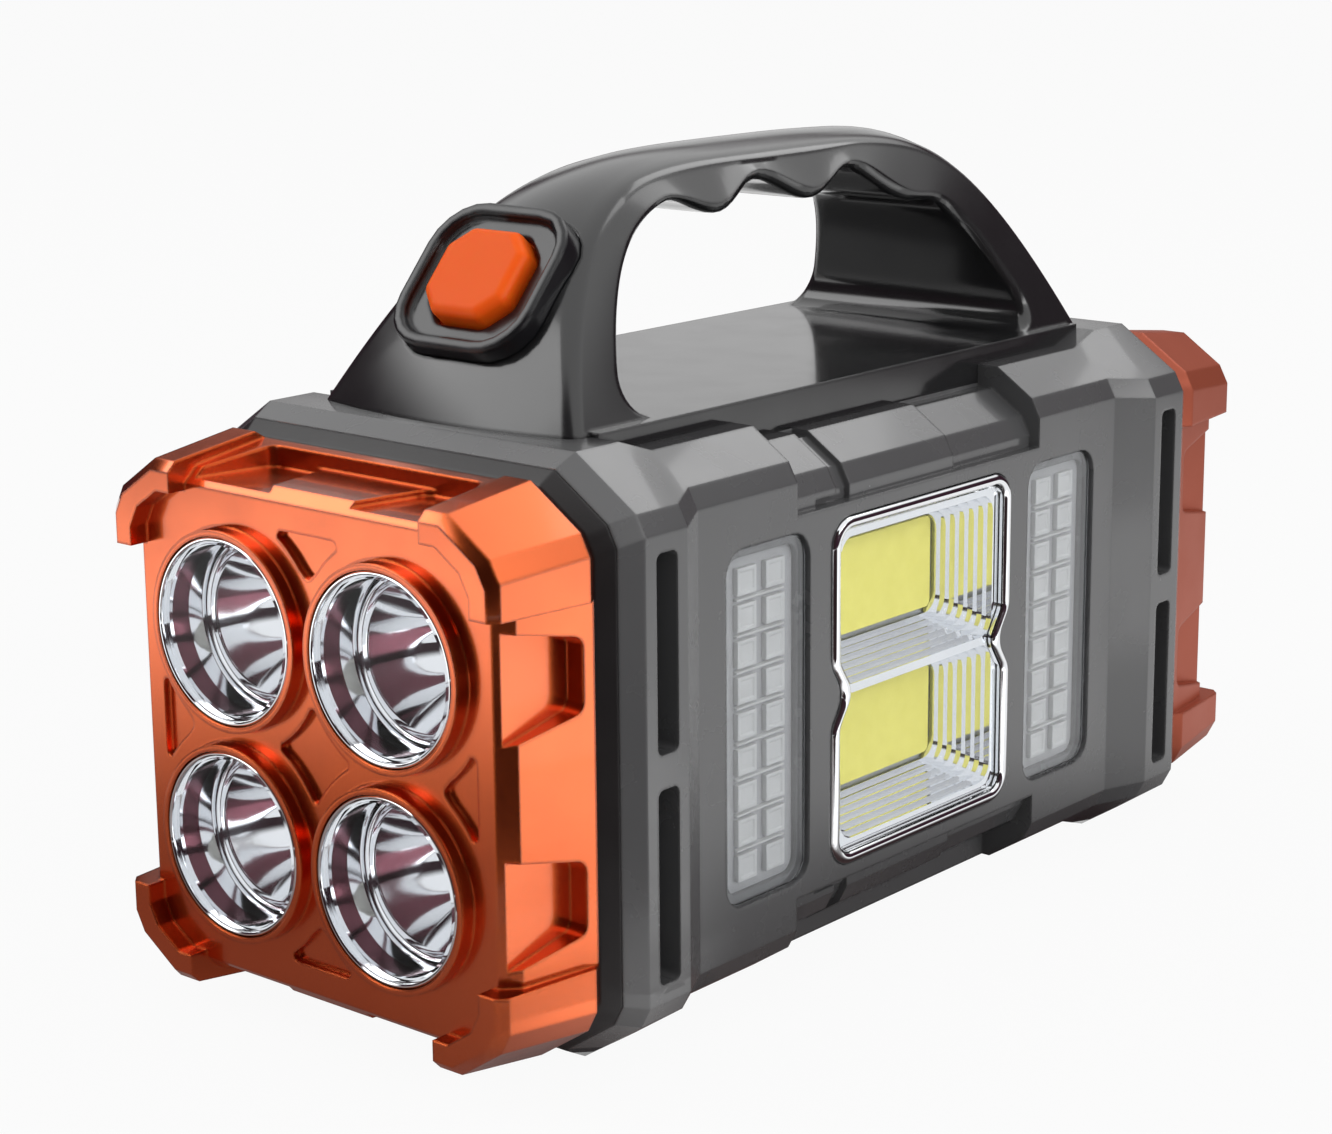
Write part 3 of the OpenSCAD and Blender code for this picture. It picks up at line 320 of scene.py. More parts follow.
class Finishes:
    """All the materials of the lamp, made once."""

    def __init__(self) -> None:
        """Makes every material."""
        # Injection-moulded ABS from a polished tool: an even gloss with a faint orange peel.
        polish = {"Coat Weight": 0.6, "Coat Roughness": 0.08}
        self.housing = Finish("moulded_abs_grey", "#535354", "#4b4b4c", 0.26, ior=1.53, relief_mm=1.6,
                              relief_depth=0.0012, edge_mm=0.6, sockets=polish).build()
        self.handle = Finish("moulded_abs_dark", "#222223", "#1c1c1d", 0.16, ior=1.53, relief_mm=1.6,
                             relief_depth=0.0012, edge_mm=0.6, sockets=polish).build()
        self.surround = Finish("moulded_abs_black", "#1a1a1c", "#151517", 0.2, ior=1.53, relief_mm=1.6,
                               relief_depth=0.002, edge_mm=0.6).build()
        # Metallised and lacquered ABS: a coloured mirror under a clear lacquer that flowed out smooth.
        self.bezel = Finish("plated_abs_orange", "#e8703c", "#de6633", 0.24, metallic=1.0, relief_mm=2.2,
                            relief_depth=0.002, edge_mm=0.6,
                            sockets={"Coat Weight": 0.6, "Coat Roughness": 0.06}).build()
        # The same metallising on an etched tool: satin, deeper in colour.
        self.cap = Finish("satin_plated_abs_orange", "#b25a42", "#a5523b", 0.45, metallic=0.6, relief_mm=0.35,
                          relief_depth=0.006, edge_mm=0.6).build()
        # Vacuum-metallised polycarbonate: a bright mirror with the slight waviness of its moulding.
        self.chrome = Finish("vacuum_metallised_mirror", "#f3f4f6", "#e9ebee", 0.06, metallic=1.0, relief_mm=3.0,
                             relief_depth=0.004, gloss_spread=0.04).build()
        # Painted reflection: the same mirror in a band of the bore, tinted dark maroon to stand for the dark red
        # reflection the bore shows there; smooth, dark and tinted.
        self.painted_reflection_band = Finish("mirror_with_painted_maroon_reflection", "#6b424a", "#613b43", 0.12, metallic=1.0, relief_mm=2.0,
                             relief_depth=0.002, drift_mm=5.0).build()
        # Clear moulded polycarbonate, polished on both faces; the lenses also have an anti-reflection layer.
        clear = {"Transmission Weight": 1.0}
        self.clear = Finish("coated_polycarbonate", "#fbfcfd", "#f6f8fa", 0.03, ior=1.15, relief_mm=4.0,
                            relief_depth=0.001, gloss_spread=0.02, sockets=clear).build()
        self.cover = Finish("clear_strip_cover", "#eceef0", "#e2e5e8", 0.05, ior=1.585, relief_mm=3.0,
                            relief_depth=0.002, gloss_spread=0.03, sockets=clear).build()
        # Silicone filled with yellow phosphor, dispensed and cured: dull, faintly grainy.
        self.phosphor = Finish("phosphor_silicone", "#d3cd6e", "#c6bf5d", 0.5, ior=1.41, relief_mm=0.5,
                               relief_depth=0.01, drift_mm=3.0).build()
        # Diode package, moulded in filled white resin: even, half matt.
        self.diode = Finish("white_diode_package", "#c3c3c2", "#b6b6b5", 0.45, relief_mm=0.4, relief_depth=0.004,
                            drift_mm=4.0).build()
        # Clear silicone, dispensed as a dome over a pale diode: smooth.
        self.dome = Finish("silicone_dome", "#e4e4dc", "#d8d8cf", 0.2, ior=1.41, relief_mm=0.8, relief_depth=0.002,
                           drift_mm=2.0).build()
        # Solder mask, printed on a board and cured: flat, with the faint grain of the screen.
        self.strip_board = Finish("grey_solder_mask", "#a2a2a3", "#979798", 0.4, relief_mm=0.4,
                                  relief_depth=0.004).build()
        self.white_board = Finish("white_solder_mask", "#8d8e90", "#7f8083", 0.5, relief_mm=0.4,
                                  relief_depth=0.004).build()
        self.green_board = Finish("green_solder_mask", "#1f5a34", "#19502d", 0.4, relief_mm=0.4,
                                  relief_depth=0.005).build()
        # Milled aluminium: fine parallel tool marks along one axis.
        self.aluminium = Finish("milled_aluminium", "#b9bbbe", "#a6a8ab", 0.35, metallic=1.0, relief_mm=0.3,
                                relief_depth=0.006, stretch=(1.0, 0.05, 1.0)).build()
        # Drawn or stamped steel with a bright zinc plating: fine and even.
        self.steel = Finish("zinc_plated_steel", "#b4b6b8", "#9d9fa2", 0.3, metallic=1.0, relief_mm=0.5,
                            relief_depth=0.004).build()
        # Nitrile and silicone rubber from a blasted tool: matt to half gloss, dark and slightly uneven.
        self.seal = Finish("nitrile_seal", "#181415", "#120f10", 0.38, ior=1.52, relief_mm=0.5,
                           relief_depth=0.008, edge_mm=0.4).build()
        self.rubber = Finish("moulded_silicone_black", "#1d1d1e", "#161617", 0.6, ior=1.41, relief_mm=0.4,
                             relief_depth=0.012).build()
        # Pigmented silicone with a soft-touch skin: dull, and light goes a little way in, red the furthest.
        glow = {"Specular IOR Level": 0.2, "Subsurface Weight": 0.5, "Subsurface Radius": (1.0, 0.25, 0.1),
                "Subsurface Scale": 1.5 * MM}
        self.button = Finish("soft_touch_silicone_orange", "#ff6614", "#f95c10", 0.45, ior=1.41, relief_mm=0.45,
                             relief_depth=0.006, sockets=glow).build()
        # Nylon from an etched tool, for what is inside: matt.
        self.black = Finish("moulded_nylon_black", "#1c1c1d", "#151516", 0.55, relief_mm=0.4,
                            relief_depth=0.01).build()
        # Film shrunk round a battery cell: tight and half gloss.
        self.wrap = Finish("shrink_wrap_blue", "#2f5fa8", "#284f90", 0.3, ior=1.54, relief_mm=1.2,
                           relief_depth=0.004).build()


# Edges and meshes


def smooth_group() -> bpy.types.NodeTree:
    """Node group that shades a mesh smooth except across sharp edges.

    Returns:
        The geometry node group.
    """
    group = bpy.data.node_groups.new("smooth_but_sharp", "GeometryNodeTree")
    group.interface.new_socket("Geometry", in_out="INPUT", socket_type="NodeSocketGeometry")
    group.interface.new_socket("Geometry", in_out="OUTPUT", socket_type="NodeSocketGeometry")
    mesh = add_node(group, "NodeGroupInput").outputs["Geometry"]
    mesh = add_node(group, "GeometryNodeRemoveAttribute", {"Geometry": mesh, "Name": "custom_normal"}).outputs[0]
    mesh = add_node(group, "GeometryNodeSetShadeSmooth", {"Geometry": mesh, "Shade Smooth": True},
                    domain="FACE").outputs[0]
    angle = add_node(group, "GeometryNodeInputMeshEdgeAngle").outputs["Unsigned Angle"]
    sharp = add_node(group, "FunctionNodeCompare", {0: angle, 1: math.radians(SHARP_ANGLE)}, data_type="FLOAT",
                     operation="GREATER_THAN").outputs[0]
    mesh = add_node(group, "GeometryNodeSetShadeSmooth", {"Geometry": mesh, "Selection": sharp, "Shade Smooth": False},
                    domain="EDGE").outputs[0]
    add_node(group, "NodeGroupOutput", {"Geometry": mesh})
    return group


class Edges:
    """Rounds the edges of solids, as a moulding tool leaves them."""

    def __init__(self) -> None:
        """Makes the node group that all solids share."""
        self.smooth = smooth_group()

    def round(self, piece: bpy.types.Object, radius: float, segments: int = 3) -> None:
        """Rounds a solid's edges with modifiers and shades it smooth.

        Args:
            piece: solid to round.
            radius: width of the rounding in millimetres, or zero for smooth shading alone.
            segments: faces across the rounding.
        """
        weld = piece.modifiers.new("join_corners", "WELD")
        weld.merge_threshold = SAME_CORNER * MM
        if radius:
            flat = piece.modifiers.new("join_flat_faces", "DECIMATE")
            flat.decimate_type = "DISSOLVE"
            flat.angle_limit = math.radians(FLAT_ANGLE)
            edge = piece.modifiers.new("round_edges", "BEVEL")
            edge.limit_method = "ANGLE"
            edge.angle_limit = math.radians(SHARP_ANGLE)
            edge.width = radius * MM
            edge.segments = segments
            edge.miter_outer = "MITER_ARC"
        shade = piece.modifiers.new("shade_smooth", "NODES")
        shade.node_group = self.smooth
        even = piece.modifiers.new("even_normals", "WEIGHTED_NORMAL")
        even.keep_sharp = True

    def draw_in(self, piece: bpy.types.Object, gap: float) -> None:
        """Draws the skin of a clear piece in, so that a film of air parts it from what it rests on.

        Args:
            piece: clear piece.
            gap: thickness of the film in millimetres.
        """
        film = piece.modifiers.new("film_of_air", "DISPLACE")
        film.mid_level = 0.0
        film.strength = -gap * MM


def rounded(corners: Sequence[Vector], radius: float, steps: int) -> Outline:
    """Rounds the corners of an outline.

    Args:
        corners: its corners, anticlockwise.
        radius: rounding of the corners in millimetres.
        steps: edges round each corner.

    Returns:
        Points of the rounded outline, anticlockwise.
    """
    points = []
    for k, corner in enumerate(corners):
        to_last = (corners[k - 1] - corner).normalized()
        to_next = (corners[(k + 1) % len(corners)] - corner).normalized()
        opening = to_last.angle(to_next) / 2
        centre = corner + (to_last + to_next).normalized() * radius / math.sin(opening)
        start = corner + to_last * radius / math.tan(opening) - centre
        end = corner + to_next * radius / math.tan(opening) - centre
        sweep = math.atan2(start.x * end.y - start.y * end.x, start.dot(end))
        for step in range(steps + 1):
            spoke = Matrix.Rotation(sweep * step / steps, 2) @ start
            points.append((centre.x + spoke.x, centre.y + spoke.y))
    return points


def bands(count: int, rings: int, closed: bool = False) -> list[Face]:
    """Faces between rings of points, each ring joined to the next.

    Args:
        count: points in a ring.
        rings: number of rings.
        closed: True to join the last ring to the first.

    Returns:
        The faces, all turned the same way.
    """
    faces: list[Face] = []
    for k in range(rings if closed else rings - 1):
        here, there = k * count, (k + 1) % rings * count
        faces += [(here + i, there + i, there + (i + 1) % count, here + (i + 1) % count) for i in range(count)]
    return faces


def turned_over(faces: Sequence[Face]) -> list[Face]:
    """Turns faces so that they look the other way.

    Args:
        faces: corners of each face.

    Returns:
        The same faces with their corners in reverse.
    """
    return [tuple(reversed(face)) for face in faces]


@dataclass
class Workshop:
    """What every sub-assembly needs to make and dress its pieces."""

    nodes: dict[str, bpy.types.Object]
    finishes: Finishes
    edges: Edges
    air_gap: float = 0.03

    def dress(self, node: str, finish: bpy.types.Material, radius: float = 0.0, segments: int = 3,
              lets_light: bool = False) -> None:
        """Gives a solid its finish and rounds its edges.

        Args:
            node: name of the solid.
            finish: its material.
            radius: rounding of its edges in millimetres.
            segments: faces across the rounding.
            lets_light: True for a clear piece that throws no shadow on what it covers.
        """
        piece = self.nodes[node]
        piece.data.materials.clear()
        piece.data.materials.append(finish)
        piece.visible_shadow = not lets_light
        self.edges.round(piece, radius, segments)
        if lets_light:
            self.edges.draw_in(piece, self.air_gap)
        LOG.info("dressed %s with %s", node, finish.name)

    def make(self, node: str, points: Sequence[Point], faces: Sequence[Face], finish: bpy.types.Material,
             slot: str, radius: float = 0.0, body: str = "lamp") -> bpy.types.Mesh:
        """Makes a finer mesh that stands for a solid.

        Args:
            node: name of the solid.
            points: corners in millimetres.
            faces: corners of each face.
            finish: material of the piece.
            slot: material slot of the record that it follows; not used.
            radius: rounding of its edges in millimetres.
            body: body that carries it.

        Returns:
            The finer mesh.
        """
        piece = add_mesh(f"fine_{node}", points, faces, finish)
        self.edges.round(piece, radius)
        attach(piece, body)
        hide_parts(node)
        LOG.info("made %s with %s", node, finish.name)
        return piece.data


# Sub-assemblies


class Assembly(Protocol):
    """A group of pieces that is built together."""

    def build(self, shop: Workshop) -> None:
        """Makes and dresses the pieces.

        Args:
            shop: pieces and finishes.
        """


@dataclass
class Body:
    """The grey housing and the dark handle that is screwed on it."""

    def build(self, shop: Workshop) -> None:
        """Dresses the housing, the handle and its screws.

        Args:
            shop: pieces and finishes.
        """
        shop.dress("housing", shop.finishes.housing)
        shop.dress("handle", shop.finishes.handle)
        shop.dress("handle_screws", shop.finishes.steel)


@dataclass
class EndCaps:
    """The plated bezel in front, the satin cap at the back and the seals behind them."""

    seal_edge: float = 0.25

    def build(self, shop: Workshop) -> None:
        """Dresses both caps and both seals.

        Args:
            shop: pieces and finishes.
        """
        shop.dress("front_bezel", shop.finishes.bezel)
        shop.dress("rear_cap", shop.finishes.cap)
        for end in End:
            shop.dress(f"{end.name.lower()}_seal", shop.finishes.seal, self.seal_edge)


@dataclass
class FrontLamps:
    """Four mirror cups with their lenses, and the diodes on their board."""

    pitch: float = 27.0
    axis_z: float = 37.5
    board: float = 63.9
    bowl: float = 72.4
    hole_r: float = 2.5
    bowl_r: float = 9.75
    bore_r: float = 10.65
    # Ends of the bore's band that carries the painted maroon reflection
    band_back: float = 75.6
    band_front: float = 78.2
    seat: float = 78.7
    seat_r: float = 11.2
    rim: float = 79.9
    rim_r: float = 11.65
    flange: float = 75.0
    flange_r: float = 12.55
    flange_t: float = 1.2
    wall: float = 0.9
    bead_h: float = 0.63
    lip: float = 0.15
    bowl_steps: int = 28
    bare_steps: int = 2
    bead_steps: int = 8
    turns: int = 128

    def profile(self) -> Outline:
        """Section of a cup: radius, and distance in front of the body's middle.

        Returns:
            The closed section from the diode's hole over the bowl, its bead and the bore to the rim, and back outside.
        """
        span = self.bowl_r ** 2 - self.hole_r ** 2
        bowl = []
        for k in range(self.bowl_steps + 1):
            r = self.hole_r + (self.bowl_r - self.hole_r) * k / self.bowl_steps
            bowl.append((r, self.board + (self.bowl - self.board) * (r ** 2 - self.hole_r ** 2) / span))
        half = (self.bore_r - self.bowl_r) / 2
        bead = [(self.bowl_r + half * (1 - math.cos(math.pi * k / self.bead_steps)),
                 self.bowl + self.bead_h * math.sin(math.pi * k / self.bead_steps))
                for k in range(1, self.bead_steps)]
        bore = [(self.bore_r, d) for d in (self.bowl, self.band_back, self.band_front, self.seat)]
        rim = [(self.seat_r, self.seat), (self.seat_r, self.rim - self.lip), (self.seat_r + self.lip, self.rim),
               (self.rim_r - self.lip, self.rim), (self.rim_r, self.rim - self.lip)]
        flange_back = self.flange - self.flange_t
        flange = [(self.rim_r, self.flange), (self.flange_r, self.flange), (self.flange_r, flange_back),
                  (self.rim_r, flange_back)]
        # The outer wall ends some steps short of the bead, where it would run into the bore.
        outside = [(r + self.wall, d) for r, d in reversed(bowl[:-self.bare_steps])]
        return bowl + bead + bore + rim + flange + outside

    def cup(self, side: Side, level: Level) -> Shape:
        """Spins the section round the axis of one lamp.

        Args:
            side: side of the lamp.
            level: row of the lamp.

        Returns:
            Corners and faces of the cup.
        """
        section = self.profile()
        x0 = side.value * self.pitch / 2
        z0 = self.axis_z + level.value * self.pitch / 2
        points = []
        for t in range(self.turns):
            angle = 2 * math.pi * t / self.turns
            points += [(x0 + r * math.cos(angle), -d, z0 + r * math.sin(angle)) for r, d in section]
        return points, turned_over(bands(len(section), self.turns, closed=True))

    def build(self, shop: Workshop) -> None:
        """Makes the cups and dresses the lenses, the diodes and what carries them.

        Args:
            shop: pieces and finishes.
        """
        section = self.profile()
        band = section.index((self.bore_r, self.band_back))
        for side in Side:
            for level in Level:
                place = f"{level.name}_{side.name}".lower()
                mesh = shop.make(f"reflector_{place}", *self.cup(side, level), shop.finishes.chrome,
                                 "reflector_chrome")
                # The faces of the bore's band take the mirror with a painted dark maroon reflection.
                mesh.materials.append(shop.finishes.painted_reflection_band)
                for face in mesh.polygons:
                    if face.index % len(section) == band:
                        face.material_index = 1
                shop.dress(f"lens_{place}", shop.finishes.clear, lets_light=True)
        shop.dress("front_leds", shop.finishes.dome)
        shop.dress("front_led_board", shop.finishes.white_board)
        shop.dress("heat_sink", shop.finishes.aluminium)
        shop.dress("front_board_screws", shop.finishes.steel)


@dataclass
class Floodlight:
    """One side floodlight: bright rim, stepped mirror, clear lens and two yellow emitters."""

    side: Side
    axis_z: float = 37.5
    half_w: float = 20.1
    half_h: float = 23.3
    notch_depth: float = 2.8
    notch_h: float = 4.2
    corner: float = 4.0
    corner_steps: int = 12
    front: float = 34.0
    flange_front: float = 31.0
    flange_back: float = 29.8
    flange_w: float = 1.6
    rim_outer: float = 0.15
    rim_inner: float = 1.7
    bead_h: float = 0.7
    bead_steps: int = 12
    step_edge: float = 0.1
    lens_edge: float = 0.2

    def outline(self, inset: float) -> Outline:
        """Outline of the window, seen from the side.

        Args:
            inset: how far it is drawn in.

        Returns:
            Its points, anticlockwise.
        """
        a, b = self.half_w - inset, self.half_h - inset
        waist = a - self.notch_depth
        half = [Vector((a, -b)), Vector((a, -self.notch_h)), Vector((waist, 0)), Vector((a, self.notch_h)),
                Vector((a, b))]
        return rounded(half + [-c for c in half], self.corner - inset, self.corner_steps)

    def section(self) -> Outline:
        """Section of the rim: inset from the window's edge, and distance from the body's middle plane.

        Returns:
            The closed section, with a rounded bead in front and a flange behind.
        """
        middle, half = (self.rim_inner + self.rim_outer) / 2, (self.rim_inner - self.rim_outer) / 2
        bead = [(middle + half * math.cos(math.pi * k / self.bead_steps),
                 self.front - self.bead_h * (1 - math.sin(math.pi * k / self.bead_steps)))
                for k in range(self.bead_steps + 1)]
        return bead + [(self.rim_outer, self.flange_front), (-self.flange_w, self.flange_front),
                       (-self.flange_w, self.flange_back), (self.rim_inner, self.flange_back)]

    def rim(self) -> Shape:
        """Sweeps the section round the window.

        Returns:
            Corners and faces of the rim.
        """
        rings = [[(self.side.value * x, y, self.axis_z + z) for y, z in self.outline(inset)]
                 for inset, x in self.section()]
        faces = bands(len(rings[0]), len(rings), closed=True)
        if self.side is Side.LEFT:
            faces = turned_over(faces)
        return sum(rings, []), faces

    def build(self, shop: Workshop) -> None:
        """Makes the rim and dresses the rest of the floodlight.

        Args:
            shop: pieces and finishes.
        """
        place = self.side.name.lower()
        shop.make(f"flood_frame_{place}", *self.rim(), shop.finishes.chrome, "reflector_chrome")
        shop.dress(f"flood_reflector_{place}", shop.finishes.chrome, self.step_edge, segments=2)
        shop.dress(f"flood_lens_{place}", shop.finishes.clear, self.lens_edge, lets_light=True)
        shop.dress(f"flood_board_{place}", shop.finishes.aluminium)
        shop.dress(f"flood_emitters_{place}", shop.finishes.phosphor, self.step_edge)


@dataclass
class StripLight:
    """One strip light: clear cover over a pale board with two columns of diodes and a rib between the rows."""

    side: Side
    end: End
    middle_y: float = 32.75
    axis_z: float = 37.5
    board_x: float = 31.0
    rows: int = 9
    row_pitch: float = 4.6
    column_pitch: float = 5.6
    diode_w: float = 3.7
    diode_h: float = 3.5
    diode_t: float = 0.8
    window: float = 0.45
    window_floor: float = 0.63
    window_sink: float = 0.2
    rib_h: float = 0.5
    rib_top_h: float = 0.25
    rib_t: float = 0.7
    edge: float = 0.12
    cover_edge: float = 0.25

    def block(self, y: float, z: float, rings: Sequence[Point]) -> Shape:
        """Block that stands on the board, made of rectangles one on the other.

        Args:
            y: its middle along the body.
            z: its middle above the floor.
            rings: distance from the body's middle plane, half width and half height of each rectangle.

        Returns:
            Corners and faces.
        """
        points = [(self.side.value * x, y + sy * w, z + sz * h) for x, w, h in rings for sy, sz in CORNERS]
        side_count, last = len(CORNERS), len(points) - 1
        faces = bands(side_count, len(rings))
        faces += [tuple(range(side_count)), tuple(range(last, last - side_count, -1))]
        return points, turned_over(faces) if self.side is Side.RIGHT else faces

    def diode(self, y: float, z: float) -> Shape:
        """Package of one diode, with a sunk window in its front.

        Args:
            y: its middle along the body.
            z: its middle above the floor.

        Returns:
            Corners and faces.
        """
        a, b = self.diode_w / 2, self.diode_h / 2
        front = self.board_x + self.diode_t
        return self.block(y, z, [
            (self.board_x, a, b), (front, a, b), (front, a - self.window, b - self.window),
            (front - self.window_sink, a - self.window_floor, b - self.window_floor),
        ])

    def rib(self, y: float, z: float) -> Shape:
        """Rib between two rows, narrower at its top.

        Args:
            y: its middle along the body.
            z: its middle above the floor.

        Returns:
            Corners and faces.
        """
        a = (self.column_pitch + self.diode_w) / 2
        return self.block(y, z, [(self.board_x, a, self.rib_h / 2), (self.board_x + self.rib_t, a, self.rib_top_h / 2)])

    def light_bar(self) -> Shape:
        """All the diodes and ribs of the strip in one mesh.

        Returns:
            Corners and faces.
        """
        y = self.end.value * self.middle_y
        parts = []
        for row in range(self.rows):
            z = self.axis_z + (row - (self.rows - 1) / 2) * self.row_pitch
            parts += [self.diode(y + column * self.column_pitch / 2, z) for column in (-1, 1)]
            if row:
                parts.append(self.rib(y, z - self.row_pitch / 2))
        points: list[Point] = []
        faces: list[Face] = []
        for some_points, some_faces in parts:
            faces += [tuple(len(points) + i for i in face) for face in some_faces]
            points += some_points
        return points, faces

    def build(self, shop: Workshop) -> None:
        """Makes the diodes and dresses the cover and the board.

        Args:
            shop: pieces and finishes.
        """
        place = f"{self.end.name}_{self.side.name}".lower()
        shop.make(f"strip_leds_{place}", *self.light_bar(), shop.finishes.diode, "white_diode", self.edge)
        shop.dress(f"strip_lens_{place}", shop.finishes.cover, self.cover_edge, lets_light=True)
        shop.dress(f"strip_board_{place}", shop.finishes.strip_board)


@dataclass
class PowerSwitch:
    """The orange button in its black surround, with the switch under it."""

    foot_y: float = -46.951
    foot_z: float = 91.0245
    slope: float = 48.904
    half_w: float = 6.7
    half_h: float = 6.4
    chamfer: float = 3.0
    corner: float = 1.6
    corner_steps: int = 6
    top: float = 2.9
    flange_top: float = -1.3
    flange_bottom: float = -2.3
    flange_w: float = 1.2
    button_edge: float = 1.4
    edge_steps: int = 8
    surround_edge: float = 0.6

    def outline(self, widen: float) -> Outline:
        """Outline of the button, seen along its travel.

        Args:
            widen: how far it is moved out.

        Returns:
            Its points, anticlockwise.
        """
        a, b = self.half_w + widen, self.half_h + widen
        c = self.chamfer + (2 - math.sqrt(2)) * widen
        half = [Vector((a, c - b)), Vector((a, b - c)), Vector((a - c, b)), Vector((c - a, b))]
        return rounded(half + [-v for v in half], self.corner + widen, self.corner_steps)

    def button(self) -> Shape:
        """Button with a soft upper edge, on the flange that holds it under the surround.

        Returns:
            Corners and faces of the button.
        """
        turns = [math.pi / 2 * k / self.edge_steps for k in range(self.edge_steps + 1)]
        section = [(self.button_edge * (math.sin(t) - 1), self.top - self.button_edge * (1 - math.cos(t)))
                   for t in turns]
        section += [(0.0, self.flange_top), (self.flange_w, self.flange_top), (self.flange_w, self.flange_bottom)]
        tilt = Matrix.Rotation(math.radians(self.slope), 4, "X")
        place = Matrix.Translation((0, self.foot_y, self.foot_z)) @ tilt
        rings = [[tuple(place @ Vector((x, y, z))) for x, y in self.outline(widen)] for widen, z in section]
        points = sum(rings, [])
        count, last = len(rings[0]), len(points) - 1
        faces = bands(count, len(rings))
        faces += [tuple(range(count)), tuple(range(last, last - count, -1))]
        return points, faces

    def build(self, shop: Workshop) -> None:
        """Makes the button and dresses its surround and the switch.

        Args:
            shop: pieces and finishes.
        """
        shop.make("power_button", *self.button(), shop.finishes.button, "button_rubber", body="button")
        shop.dress("switch_surround", shop.finishes.surround, self.surround_edge, segments=4)
        shop.dress("switch_plunger", shop.finishes.black)
        shop.dress("tact_switch", shop.finishes.steel)
        shop.dress("switch_board", shop.finishes.green_board)


@dataclass
class ChargingPort:
    """The socket in the rear cap under its rubber cover."""

    cover_edge: float = 0.35

    def build(self, shop: Workshop) -> None:
        """Dresses the cover, its fixed tab and the socket.

        Args:
            shop: pieces and finishes.
        """
        shop.dress("port_cover", shop.finishes.rubber, self.cover_edge)
        shop.dress("port_cover_tab", shop.finishes.rubber, self.cover_edge)
        shop.dress("charge_socket", shop.finishes.steel)


@dataclass
class PowerPack:
    """The battery and the driver inside the body."""

    can_edge: float = 0.2

    def build(self, shop: Workshop) -> None:
        """Dresses the cells, their holder and the driver.

        Args:
            shop: pieces and finishes.
        """
        shop.dress("battery_holder", shop.finishes.black)
        shop.dress("battery_contacts", shop.finishes.steel)
        for side in Side:
            shop.dress(f"battery_cell_{side.name.lower()}", shop.finishes.wrap)
        shop.dress("driver_board", shop.finishes.green_board)
        shop.dress("driver_components", shop.finishes.black, self.can_edge)
        shop.dress("driver_board_screws", shop.finishes.steel)


